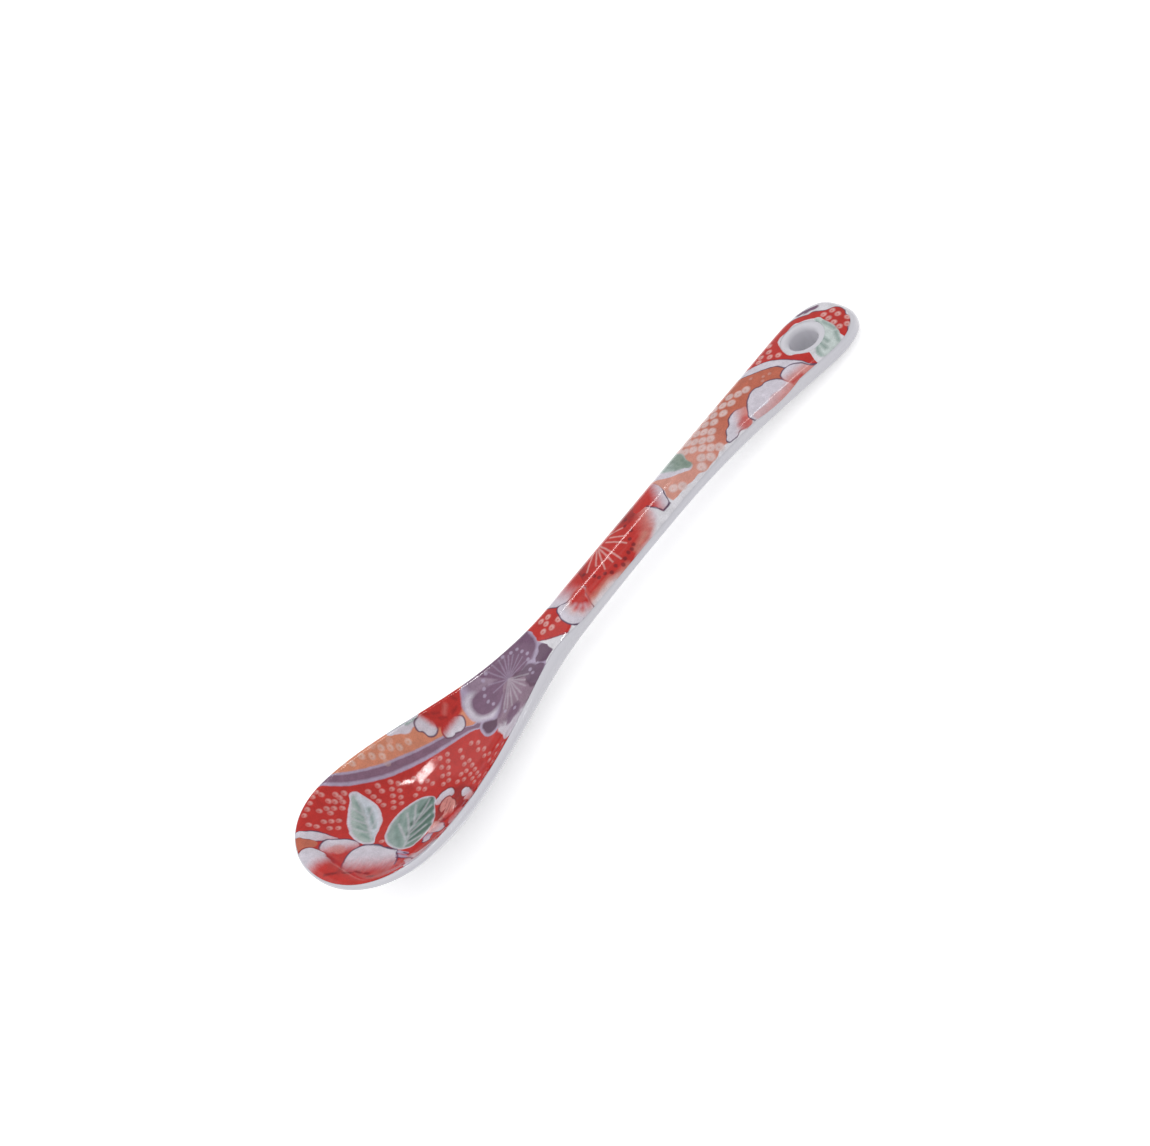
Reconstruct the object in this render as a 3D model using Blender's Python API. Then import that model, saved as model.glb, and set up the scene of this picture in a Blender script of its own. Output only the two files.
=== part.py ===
"""A small porcelain spoon with printed transfers on its upper face.

The spoon lies on a table as it would at rest: on the flat under its bowl and on its handle's end.
+X runs from the bowl's tip to the handle's end, +Z is up, and the origin is on the table under the
middle of the spoon.
"""

import math

import bmesh
import bpy
from mathutils import Matrix, Vector

MM = 0.001

# Plan outline, with stations measured along the spoon from the bowl's tip
LENGTH = 133.0 * MM
BOWL_WIDTH = 30.4 * MM
BOWL_WIDEST_AT = 14.2 * MM
BOWL_FRONT_FULLNESS = 2.1
NECK_AT = 59.6 * MM
NECK_WIDTH = 8.9 * MM
HANDLE_BEND_AT = 87.3 * MM
HANDLE_END_WIDTH = 13.3 * MM
END_CORNER_LENGTH = 12.0 * MM
END_FULLNESS = 2.5

# Side profile: the height of the spoon's side edge above the table
TIP_HEIGHT = 11.0 * MM
NECK_HEIGHT = 5.9 * MM
RIM_LEVELS_AT = 46.8 * MM
HANDLE_HEIGHT = 5.8 * MM
END_HEIGHT = 2.1 * MM

# Side profile: the underside along the middle
TIP_EDGE = 1.6 * MM
FOOT_FRONT_AT = 23.8 * MM
FOOT_BACK_AT = 30.0 * MM
FOOT_SINK = 0.2 * MM
FRONT_SWEEP_POWER = 1.5
HANDLE_ARCH = 3.9 * MM
ARCH_POWER = 1.3
HANDLE_REST_FROM_END = 6.0 * MM
TIP_ROUND = 1.2 * MM
END_ROUND = 2.0 * MM

# Cross-section: the bowl's lip and hollow, blended along the neck into the handle's crowned top
LIP_WIDTH = 1.1 * MM
LIP_RISE = 0.6 * MM
BOWL_WALL = 3.0 * MM
HOLLOW_FRONT_LENGTH = 4.0 * MM
HOLLOW_FULL_TO = 26.0 * MM
HOLLOW_END_AT = 68.0 * MM
HOLLOW_FLATNESS = 3.0
HOLLOW_SOFTNESS = 1.2
HANDLE_CROWN = 2.0 * MM
BOWL_UNDERSIDE_POWER = 0.9
ROUND_POWER = 0.5
FLAT_POWER = 0.34

# Hanging hole, pierced square to the sloping end of the handle
HOLE_DIAMETER = 5.2 * MM
HOLE_FROM_END = 9.7 * MM
HOLE_LIP = 1.1 * MM
HOLE_TILT = math.radians(6.0)

# Printed transfers: where they part, and the bare porcelain left round them
TRANSFER_GAP = 0.12 * MM
TRANSFER_THICKNESS = 0.15 * MM
TRANSFER_PART_AT = 57.0 * MM
TRANSFER_PART_GAP = 0.4 * MM
BOWL_NEAR_MARGIN = 1.2 * MM
HANDLE_NEAR_MARGIN = 0.3 * MM
MARGIN_NARROWS_AT = 52.0 * MM
MARGIN_NARROW_AT = 62.0 * MM
FAR_MARGIN = 0.5 * MM
TIP_MARGIN = 0.9 * MM
END_MARGIN = 1.5 * MM
HOLE_MARGIN = 0.3 * MM

# Fineness of the meshes
BODY_RINGS = 56
BODY_SEGMENTS = 64
BOWL_ROWS = 26
HANDLE_ROWS = 26
ROW_SEGMENTS = 20
HOLE_SEGMENTS = 32
LIP_SEGMENTS = 4

HOLE_AT = LENGTH - HOLE_FROM_END


def ease(start, end, value):
    """Go smoothly from 0 at start to 1 at end."""
    share = min(1.0, max(0.0, (value - start) / (end - start)))
    return share * share * (3.0 - 2.0 * share)


def half_width(x, side_margin=0.0, tip_margin=0.0, end_margin=0.0):
    """Half the plan width at station x, drawn in by the margins."""
    widest = BOWL_WIDTH / 2 - side_margin
    neck = NECK_WIDTH / 2 - side_margin
    if x < BOWL_WIDEST_AT:
        share = min(1.0, (BOWL_WIDEST_AT - x) / (BOWL_WIDEST_AT - tip_margin))
        width = widest * (1.0 - share**BOWL_FRONT_FULLNESS) ** (1.0 / BOWL_FRONT_FULLNESS)
    else:
        width = widest + (neck - widest) * ease(BOWL_WIDEST_AT, NECK_AT, x)
    flare = max(0.0, x - HANDLE_BEND_AT) / (HOLE_AT - HANDLE_BEND_AT)
    width += (HANDLE_END_WIDTH - NECK_WIDTH) / 2 * flare**2
    corner = max(0.0, x - LENGTH + END_CORNER_LENGTH) / (END_CORNER_LENGTH - end_margin)
    corner = min(1.0, corner)
    return width * (1.0 - corner**END_FULLNESS) ** (1.0 / END_FULLNESS)


def edge_height(x):
    """Height of the side edge: down from the tip to the neck, level, then drooping to the end."""
    rim = TIP_HEIGHT + (NECK_HEIGHT - TIP_HEIGHT) * ease(0.0, RIM_LEVELS_AT, x)
    rim += (HANDLE_HEIGHT - NECK_HEIGHT) * ease(RIM_LEVELS_AT, HANDLE_BEND_AT, x)
    droop = max(0.0, x - HANDLE_BEND_AT) / (LENGTH - HANDLE_BEND_AT)
    return rim - (HANDLE_HEIGHT - END_HEIGHT) * droop**2 * (3.0 - droop) / 2


def underside_height(x):
    """Height of the underside along the middle, before the feet are flattened."""
    if x < FOOT_FRONT_AT:
        return (TIP_HEIGHT - TIP_EDGE) * (1.0 - x / FOOT_FRONT_AT) ** FRONT_SWEEP_POWER - FOOT_SINK
    rest_at = LENGTH - HANDLE_REST_FROM_END
    share = min(1.0, max(0.0, (x - FOOT_BACK_AT) / (rest_at - FOOT_BACK_AT)))
    return HANDLE_ARCH * math.sin(math.pi * share) ** ARCH_POWER - FOOT_SINK


def closing(x):
    """Round the tip and the handle's end off in side view: 0 at each end, 1 past the rounding."""
    tip = 1.0 - min(1.0, x / TIP_ROUND)
    end = 1.0 - min(1.0, (LENGTH - x) / END_ROUND)
    return math.sqrt(1.0 - max(tip, end, 0.0) ** 2)


def bowl_rise(x, inside):
    """Height of the bowl's upper face above its side edge, at a distance inside that edge."""
    lip = LIP_RISE * math.sqrt(1.0 - max(0.0, 1.0 - inside / LIP_WIDTH) ** 2)
    reach = half_width(x, LIP_WIDTH, LIP_WIDTH)
    across = half_width(x) - inside
    if across >= reach:
        return lip
    room = max(0.0, edge_height(x) + LIP_RISE - underside_height(x) - BOWL_WALL)
    depth = room * ease(LIP_WIDTH, LIP_WIDTH + HOLLOW_FRONT_LENGTH, x)
    return lip - depth * (1.0 - (across / reach) ** HOLLOW_FLATNESS) ** HOLLOW_SOFTNESS


def skin_point(x, angle):
    """Point on the spoon's skin: angle 0 is the far side edge, a quarter turn the top."""
    side = math.cos(angle)
    rise = math.sin(angle)
    width = half_width(x)
    flatness = ease(HANDLE_BEND_AT, HOLE_AT, x)
    power = ROUND_POWER + (FLAT_POWER - ROUND_POWER) * flatness
    if rise >= 0.0:
        handle_share = ease(HOLLOW_FULL_TO, HOLLOW_END_AT, x)
        bowl = bowl_rise(x, width * (1.0 - abs(side)))
        handle = HANDLE_CROWN * rise ** (2 * power)
        height = edge_height(x) + closing(x) * (bowl + (handle - bowl) * handle_share)
    else:
        power += (BOWL_UNDERSIDE_POWER - ROUND_POWER) * (1.0 - ease(FOOT_BACK_AT, NECK_AT, x))
        drop = (edge_height(x) - underside_height(x)) * closing(x)
        height = max(0.0, edge_height(x) - drop * (-rise) ** (2 * power))
    return Vector((x - LENGTH / 2, width * side, height))


def lifted_point(x, angle, lift):
    """Point on the upper skin, lifted square to it."""
    step = 0.01 * MM
    turn = 0.002
    along = skin_point(x + step, angle) - skin_point(x - step, angle)
    across = skin_point(x, angle - turn) - skin_point(x, angle + turn)
    return skin_point(x, angle) + along.cross(across).normalized() * lift


def new_material(name, colour, roughness):
    """A plain gloss material in the piece's main colour."""
    material = bpy.data.materials.new(name)
    material.use_nodes = True
    shader = material.node_tree.nodes["Principled BSDF"]
    shader.inputs["Base Color"].default_value = (*colour, 1.0)
    shader.inputs["Roughness"].default_value = roughness
    shader.inputs["Metallic"].default_value = 0.0
    return material


def new_object(name, bm, material=None):
    """Finish a mesh, link it as a named object and shade it smooth."""
    mesh = bpy.data.meshes.new(name)
    bm.to_mesh(mesh)
    bm.free()
    mesh.shade_smooth()
    mesh.set_sharp_from_angle(angle=math.radians(40))
    piece = bpy.data.objects.new(name, mesh)
    bpy.context.collection.objects.link(piece)
    piece.parent = spoon
    if material:
        mesh.materials.append(material)
    return piece


def hole_cutter(name, profile):
    """Turn a profile of radius and height round the hole's axis, as a cutter."""
    bm = bmesh.new()
    points = [bm.verts.new((radius, 0.0, height)) for radius, height in profile]
    edges = [bm.edges.new(pair) for pair in zip(points, points[1:])]
    bmesh.ops.spin(
        bm,
        geom=points + edges,
        axis=(0.0, 0.0, 1.0),
        cent=(0.0, 0.0, 0.0),
        angle=math.tau,
        steps=HOLE_SEGMENTS,
        use_merge=True,
    )
    bmesh.ops.remove_doubles(bm, verts=bm.verts, dist=0.001 * MM)
    bmesh.ops.recalc_face_normals(bm, faces=bm.faces)
    top = skin_point(HOLE_AT, math.pi / 2)
    bmesh.ops.transform(
        bm,
        matrix=Matrix.Translation(top) @ Matrix.Rotation(HOLE_TILT, 4, "Y"),
        verts=bm.verts,
    )
    cutter = new_object(name, bm)
    cutter.hide_render = True
    cutter.display_type = "WIRE"
    return cutter


def cut(piece, cutter):
    """Cut a piece at the hanging hole."""
    modifier = piece.modifiers.new("Hanging hole", "BOOLEAN")
    modifier.operation = "DIFFERENCE"
    modifier.solver = "EXACT"
    modifier.object = cutter


def porcelain_body():
    """Shape a ball into the spoon: its poles become the bowl's tip and the handle's end."""
    bm = bmesh.new()
    bmesh.ops.create_uvsphere(bm, u_segments=BODY_SEGMENTS, v_segments=BODY_RINGS, radius=1.0)
    for vert in bm.verts:
        x = LENGTH * (1.0 + max(-1.0, min(1.0, vert.co.z))) / 2
        vert.co = skin_point(x, math.atan2(vert.co.y, vert.co.x))
    porcelain = new_material("Glazed porcelain", (0.72, 0.72, 0.75), 0.12)
    body = new_object("porcelain_body", bm, porcelain)
    cut(body, bore_cutter())
    return body


def bore_cutter():
    """The bore with a rounded lip at its upper and lower mouth."""
    radius = HOLE_DIAMETER / 2
    thickness = skin_point(HOLE_AT, math.pi / 2).z
    past = 2.0 * MM
    lip = []
    for step in range(LIP_SEGMENTS + 1):
        turn = math.pi / 2 * step / LIP_SEGMENTS
        lip.append((radius + HOLE_LIP * (1.0 - math.sin(turn)), HOLE_LIP * (math.cos(turn) - 1.0)))
    profile = [(0.0, past), (radius + HOLE_LIP, past)]
    profile += lip
    profile += [(out, -thickness - height) for out, height in reversed(lip)]
    profile += [(radius + HOLE_LIP, -thickness - past), (0.0, -thickness - past)]
    return hole_cutter("bore_cutter", profile)


def near_margin(x):
    """Bare porcelain along the near side: a lip's width on the bowl, less on the handle."""
    narrowing = ease(MARGIN_NARROWS_AT, MARGIN_NARROW_AT, x)
    return BOWL_NEAR_MARGIN + (HANDLE_NEAR_MARGIN - BOWL_NEAR_MARGIN) * narrowing


def printed_transfer(name, rows, first, last, material):
    """Lay a thin film over the upper skin between two stations."""
    bm = bmesh.new()
    bmesh.ops.create_grid(bm, x_segments=rows, y_segments=ROW_SEGMENTS, size=0.5)
    for vert in bm.verts:
        x = first + (last - first) * (1.0 - math.cos(math.pi * (vert.co.x + 0.5))) / 2
        width = half_width(x)
        near = half_width(x, near_margin(x), TIP_MARGIN, END_MARGIN) / width
        far = half_width(x, FAR_MARGIN, TIP_MARGIN, END_MARGIN) / width
        near_angle = math.pi - math.acos(near)
        far_angle = math.acos(far)
        angle = near_angle + (far_angle - near_angle) * (vert.co.y + 0.5)
        vert.co = lifted_point(x, angle, TRANSFER_GAP)
    bmesh.ops.remove_doubles(bm, verts=bm.verts, dist=0.001 * MM)
    film = new_object(name, bm, material)
    solid = film.modifiers.new("Film thickness", "SOLIDIFY")
    solid.thickness = TRANSFER_THICKNESS
    solid.offset = 1.0
    return film


def print_opening_cutter():
    """The round opening in the handle's transfer, clear of the bore's lip."""
    radius = HOLE_DIAMETER / 2 + HOLE_LIP + HOLE_MARGIN
    reach = 3.0 * MM
    profile = [(0.0, reach), (radius, reach), (radius, -reach), (0.0, -reach)]
    return hole_cutter("print_opening_cutter", profile)


for old in list(bpy.data.objects):
    bpy.data.objects.remove(old, do_unlink=True)

spoon = bpy.data.objects.new("spoon", None)
bpy.context.collection.objects.link(spoon)

porcelain_body()

bowl_print = new_material("Printed transfer, red ground", (0.55, 0.05, 0.04), 0.15)
printed_transfer(
    "bowl_transfer",
    BOWL_ROWS,
    TIP_MARGIN,
    TRANSFER_PART_AT - TRANSFER_PART_GAP / 2,
    bowl_print,
)

handle_print = new_material("Printed transfer, orange ground", (0.62, 0.22, 0.12), 0.15)
handle_film = printed_transfer(
    "handle_transfer",
    HANDLE_ROWS,
    TRANSFER_PART_AT + TRANSFER_PART_GAP / 2,
    LENGTH - END_MARGIN,
    handle_print,
)
cut(handle_film, print_opening_cutter())
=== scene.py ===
"""A small porcelain spoon with printed floral transfers on its upper face, lying on a white table."""

import math

import bmesh
import bpy
from mathutils import Matrix, Vector


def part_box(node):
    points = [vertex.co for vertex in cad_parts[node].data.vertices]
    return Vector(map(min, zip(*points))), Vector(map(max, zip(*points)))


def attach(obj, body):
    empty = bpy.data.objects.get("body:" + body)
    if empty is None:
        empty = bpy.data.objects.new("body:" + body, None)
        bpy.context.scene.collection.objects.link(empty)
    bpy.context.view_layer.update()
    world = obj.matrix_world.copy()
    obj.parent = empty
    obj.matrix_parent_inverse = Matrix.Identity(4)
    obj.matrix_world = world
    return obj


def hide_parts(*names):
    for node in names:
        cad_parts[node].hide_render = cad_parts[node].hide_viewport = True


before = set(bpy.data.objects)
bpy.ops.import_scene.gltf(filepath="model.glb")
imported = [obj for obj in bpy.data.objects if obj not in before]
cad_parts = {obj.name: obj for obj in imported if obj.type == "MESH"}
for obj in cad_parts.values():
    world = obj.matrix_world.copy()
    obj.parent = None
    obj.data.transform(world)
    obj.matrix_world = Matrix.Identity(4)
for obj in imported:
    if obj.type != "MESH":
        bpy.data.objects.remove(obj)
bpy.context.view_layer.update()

# Porcelain body
# One slip-cast body of white porcelain: an egg-shaped bowl, an arched handle and a hanging hole.
# It is dipped in clear glaze and fired, with the glaze wiped off the flats that it stands on.
MM = 0.001
body_low, body_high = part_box("porcelain_body")
LENGTH = body_high.x - body_low.x
BOWL_WIDTH = body_high.y - body_low.y
BOWL_WIDEST_AT = 14.2 * MM
BOWL_FRONT_FULLNESS = 2.1
NECK_AT = 59.6 * MM
NECK_WIDTH = 8.9 * MM
HANDLE_BEND_AT = 87.3 * MM
HANDLE_END_WIDTH = 13.3 * MM
END_CORNER_LENGTH = 12.0 * MM
END_FULLNESS = 2.5
TIP_HEIGHT = 11.0 * MM
NECK_HEIGHT = 5.9 * MM
RIM_LEVELS_AT = 46.8 * MM
HANDLE_HEIGHT = 5.8 * MM
END_HEIGHT = 2.1 * MM
TIP_EDGE = 1.6 * MM
FOOT_FRONT_AT = 23.8 * MM
FOOT_BACK_AT = 30.0 * MM
FOOT_SINK = 0.2 * MM
FRONT_SWEEP_POWER = 1.5
HANDLE_ARCH = 3.9 * MM
ARCH_POWER = 1.3
HANDLE_REST_FROM_END = 6.0 * MM
TIP_ROUND = 1.2 * MM
END_ROUND = 2.0 * MM
LIP_WIDTH = 1.1 * MM
LIP_RISE = 0.6 * MM
BOWL_WALL = 3.0 * MM
HOLLOW_FRONT_LENGTH = 4.0 * MM
HOLLOW_FULL_TO = 26.0 * MM
HOLLOW_END_AT = 68.0 * MM
HOLLOW_FLATNESS = 3.0
HOLLOW_SOFTNESS = 1.2
HANDLE_CROWN = 2.0 * MM
BOWL_UNDERSIDE_POWER = 0.9
ROUND_POWER = 0.5
FLAT_POWER = 0.34
HOLE_AT = LENGTH - 9.7 * MM
HOLE_RADIUS = 2.6 * MM
HOLE_LIP = 1.1 * MM
HOLE_TILT = math.radians(6.0)
CUTTER_PAST = 2.0 * MM
MERGE_WITHIN = 0.001 * MM
BODY_SEGMENTS = 176
BODY_RINGS = 280
HOLE_SEGMENTS = 96
LIP_SEGMENTS = 10


def ease(start, end, value):
    """Go smoothly from 0 at start to 1 at end."""
    share = min(1.0, max(0.0, (value - start) / (end - start)))
    return share * share * (3.0 - 2.0 * share)


def half_width(x, side_margin=0.0, tip_margin=0.0, end_margin=0.0):
    """Half the plan width at a station from the tip, drawn in by the margins."""
    widest = BOWL_WIDTH / 2 - side_margin
    neck = NECK_WIDTH / 2 - side_margin
    if x < BOWL_WIDEST_AT:
        share = min(1.0, (BOWL_WIDEST_AT - x) / (BOWL_WIDEST_AT - tip_margin))
        width = widest * (1.0 - share**BOWL_FRONT_FULLNESS) ** (1.0 / BOWL_FRONT_FULLNESS)
    else:
        width = widest + (neck - widest) * ease(BOWL_WIDEST_AT, NECK_AT, x)
    flare = max(0.0, x - HANDLE_BEND_AT) / (HOLE_AT - HANDLE_BEND_AT)
    width += (HANDLE_END_WIDTH - NECK_WIDTH) / 2 * flare**2
    corner = max(0.0, x - LENGTH + END_CORNER_LENGTH) / (END_CORNER_LENGTH - end_margin)
    corner = min(1.0, corner)
    return width * (1.0 - corner**END_FULLNESS) ** (1.0 / END_FULLNESS)


def edge_height(x):
    """Height of the side edge: down from the tip to the neck, level, then drooping to the end."""
    rim = TIP_HEIGHT + (NECK_HEIGHT - TIP_HEIGHT) * ease(0.0, RIM_LEVELS_AT, x)
    rim += (HANDLE_HEIGHT - NECK_HEIGHT) * ease(RIM_LEVELS_AT, HANDLE_BEND_AT, x)
    droop = max(0.0, x - HANDLE_BEND_AT) / (LENGTH - HANDLE_BEND_AT)
    return rim - (HANDLE_HEIGHT - END_HEIGHT) * droop**2 * (3.0 - droop) / 2


def underside_height(x):
    """Height of the underside along the middle, before the feet are flattened."""
    if x < FOOT_FRONT_AT:
        return (TIP_HEIGHT - TIP_EDGE) * (1.0 - x / FOOT_FRONT_AT) ** FRONT_SWEEP_POWER - FOOT_SINK
    rest_at = LENGTH - HANDLE_REST_FROM_END
    share = min(1.0, max(0.0, (x - FOOT_BACK_AT) / (rest_at - FOOT_BACK_AT)))
    return HANDLE_ARCH * math.sin(math.pi * share) ** ARCH_POWER - FOOT_SINK


def closing(x):
    """Round the tip and the handle's end off in side view: 0 at each end, 1 past the rounding."""
    tip = 1.0 - min(1.0, x / TIP_ROUND)
    end = 1.0 - min(1.0, (LENGTH - x) / END_ROUND)
    return math.sqrt(1.0 - max(tip, end, 0.0) ** 2)


def bowl_rise(x, inside):
    """Height of the bowl's upper face above its side edge, at a distance inside that edge."""
    lip = LIP_RISE * math.sqrt(1.0 - max(0.0, 1.0 - inside / LIP_WIDTH) ** 2)
    reach = half_width(x, LIP_WIDTH, LIP_WIDTH)
    across = half_width(x) - inside
    if across >= reach:
        return lip
    room = max(0.0, edge_height(x) + LIP_RISE - underside_height(x) - BOWL_WALL)
    depth = room * ease(LIP_WIDTH, LIP_WIDTH + HOLLOW_FRONT_LENGTH, x)
    return lip - depth * (1.0 - (across / reach) ** HOLLOW_FLATNESS) ** HOLLOW_SOFTNESS


def skin_point(x, angle):
    """Point on the spoon's skin: angle 0 is the far side edge, a quarter turn the top."""
    side = math.cos(angle)
    rise = math.sin(angle)
    width = half_width(x)
    flatness = ease(HANDLE_BEND_AT, HOLE_AT, x)
    power = ROUND_POWER + (FLAT_POWER - ROUND_POWER) * flatness
    if rise >= 0.0:
        handle_share = ease(HOLLOW_FULL_TO, HOLLOW_END_AT, x)
        bowl = bowl_rise(x, width * (1.0 - abs(side)))
        handle = HANDLE_CROWN * rise ** (2 * power)
        height = edge_height(x) + closing(x) * (bowl + (handle - bowl) * handle_share)
    else:
        power += (BOWL_UNDERSIDE_POWER - ROUND_POWER) * (1.0 - ease(FOOT_BACK_AT, NECK_AT, x))
        drop = (edge_height(x) - underside_height(x)) * closing(x)
        height = max(0.0, edge_height(x) - drop * (-rise) ** (2 * power))
    return Vector((x - LENGTH / 2, width * side, height))


def new_piece(name, bm, material):
    """Finish a mesh as a smooth piece of the spoon."""
    mesh = bpy.data.meshes.new(name)
    bm.to_mesh(mesh)
    bm.free()
    mesh.shade_smooth()
    mesh.materials.append(material)
    piece = bpy.data.objects.new(name, mesh)
    bpy.context.collection.objects.link(piece)
    return piece


def pierce(piece, profile):
    """Cut the hanging hole: turn a profile of radius and height round its axis, and take that away."""
    bm = bmesh.new()
    points = [bm.verts.new((radius, 0.0, height)) for radius, height in profile]
    edges = [bm.edges.new(pair) for pair in zip(points, points[1:])]
    bmesh.ops.spin(
        bm,
        geom=points + edges,
        axis=(0.0, 0.0, 1.0),
        cent=(0.0, 0.0, 0.0),
        angle=math.tau,
        steps=HOLE_SEGMENTS,
        use_merge=True,
    )
    bmesh.ops.remove_doubles(bm, verts=bm.verts, dist=MERGE_WITHIN)
    bmesh.ops.recalc_face_normals(bm, faces=bm.faces)
    axis = Matrix.Translation(skin_point(HOLE_AT, math.pi / 2)) @ Matrix.Rotation(HOLE_TILT, 4, "Y")
    bmesh.ops.transform(bm, matrix=axis, verts=bm.verts)
    cutter = new_piece("bore", bm, piece.data.materials[0])
    hole = piece.modifiers.new("Hanging hole", "BOOLEAN")
    hole.operation = "DIFFERENCE"
    hole.solver = "EXACT"
    hole.object = cutter
    cut_piece = piece.evaluated_get(bpy.context.evaluated_depsgraph_get())
    piece.data = bpy.data.meshes.new_from_object(cut_piece)
    piece.data.name = piece.name
    piece.modifiers.clear()
    bpy.data.objects.remove(cutter, do_unlink=True)


def paint(code):
    """Turn an sRGB hex colour to linear."""
    channels = [int(code[at : at + 2], 16) / 255 for at in (1, 3, 5)]
    linear = [c / 12.92 if c < 0.04045 else ((c + 0.055) / 1.055) ** 2.4 for c in channels]
    return (*linear, 1.0)


def add(tree, kind, *inputs, take=0, **settings):
    """Add a node with its settings, and fill its sockets in order, or by name with a capital letter."""
    node = tree.nodes.new("ShaderNode" + kind)
    for name, value in settings.items():
        if not name[0].isupper():
            setattr(node, name, value)
    filled = list(zip([socket for socket in node.inputs if socket.enabled], inputs))
    filled += [(node.inputs[name], value) for name, value in settings.items() if name[0].isupper()]
    for socket, value in filled:
        if isinstance(value, bpy.types.NodeSocket):
            tree.links.new(value, socket)
        else:
            socket.default_value = value
    outputs = [socket for socket in node.outputs if socket.enabled]
    return node.outputs[take] if isinstance(take, str) else outputs[take]


# Glazed porcelain: a dense white body under clear glass, whose surface is very slightly uneven.
# The white drifts a little between warm and cool, and the bare feet are matt.
PORCELAIN_WHITE = paint("#D8D6DC")
PORCELAIN_COOL = paint("#CFCFD8")
BARE_FOOT = paint("#DCD6CB")
CLOUD_SIZE = 9.0 * MM
PEEL_SIZE = 1.6 * MM
PEEL_HEIGHT = 0.004 * MM
FOOT_EDGE = 0.05 * MM
GLAZE_IOR = 1.5
GLAZE_ROUGHNESS = (0.06, 0.1)
FOOT_ROUGHNESS = 0.65
NOISE_RANGE = (0.3, 0.7)


def dress(material, colour, roughness, normal):
    """Wire a glassy surface, with the refraction that is typical of a fired clear glaze."""
    shader = material.node_tree.nodes["Principled BSDF"]
    shader.inputs["IOR"].default_value = GLAZE_IOR
    material.node_tree.links.new(colour, shader.inputs["Base Color"])
    material.node_tree.links.new(roughness, shader.inputs["Roughness"])
    material.node_tree.links.new(normal, shader.inputs["Normal"])


glaze = bpy.data.materials.new("Glazed white porcelain")
glaze.use_nodes = True
nodes = glaze.node_tree
place = add(nodes, "TexCoord", take="Object")
cloud = add(nodes, "TexNoise", place, 1 / CLOUD_SIZE)
white = add(nodes, "Mix", cloud, PORCELAIN_WHITE, PORCELAIN_COOL, data_type="RGBA")
height = add(nodes, "SeparateXYZ", place, take="Z")
foot = add(nodes, "MapRange", height, FOOT_EDGE / 2, FOOT_EDGE, 1.0, 0.0)
peel = add(nodes, "TexNoise", place, 1 / PEEL_SIZE)
gloss = add(nodes, "MapRange", cloud, *NOISE_RANGE, *GLAZE_ROUGHNESS)
dress(
    glaze,
    add(nodes, "Mix", foot, white, BARE_FOOT, data_type="RGBA"),
    add(nodes, "Mix", foot, gloss, FOOT_ROUGHNESS),
    add(nodes, "Bump", Strength=1.0, Distance=PEEL_HEIGHT, Height=peel),
)

ball = bmesh.new()
bmesh.ops.create_uvsphere(ball, u_segments=BODY_SEGMENTS, v_segments=BODY_RINGS, radius=1.0)
for vert in ball.verts:
    station = LENGTH * (1.0 + max(-1.0, min(1.0, vert.co.z))) / 2
    vert.co = skin_point(station, math.atan2(vert.co.y, vert.co.x))
body = new_piece("glazed_porcelain_body", ball, glaze)

thickness = skin_point(HOLE_AT, math.pi / 2).z
lip_turns = [math.pi / 2 * step / LIP_SEGMENTS for step in range(LIP_SEGMENTS + 1)]
hole_lip = [
    (HOLE_RADIUS + HOLE_LIP * (1.0 - math.sin(turn)), HOLE_LIP * (math.cos(turn) - 1.0))
    for turn in lip_turns
]
lower_lip = [(radius, -thickness - drop) for radius, drop in reversed(hole_lip)]
mouth = HOLE_RADIUS + HOLE_LIP
top = CUTTER_PAST
bottom = -thickness - CUTTER_PAST
pierce(body, [(0.0, top), (mouth, top), *hole_lip, *lower_lip, (mouth, bottom), (0.0, bottom)])
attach(body, "root")
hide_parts("porcelain_body")

# Bowl transfer
# A printed film of ceramic colours laid in the bowl and over the neck, and fired on.
# Red ground with tie-dye rings, a mauve band, a plum blossom, peony petals and two leaves.
FILM_GAP = 0.04 * MM
FILM_THICKNESS = 0.03 * MM
FILMS_PART_AT = 57.0 * MM
FILMS_PART_GAP = 0.004 * MM
BOWL_NEAR_MARGIN = 1.2 * MM
HANDLE_NEAR_MARGIN = 0.3 * MM
MARGIN_NARROWS_AT = 52.0 * MM
MARGIN_NARROW_AT = 62.0 * MM
FAR_MARGIN = 0.5 * MM
TIP_MARGIN = 0.35 * MM
END_MARGIN = 1.0 * MM
ROLL_OVER_ANGLE = 0.24
ROLL_OVER_AT = 110.8 * MM
ROLL_OVER_REACH = 5.2 * MM
FILM_MERGE_WITHIN = 0.0005 * MM
BOWL_ROWS = 190
ROW_SEGMENTS = 100


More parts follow.
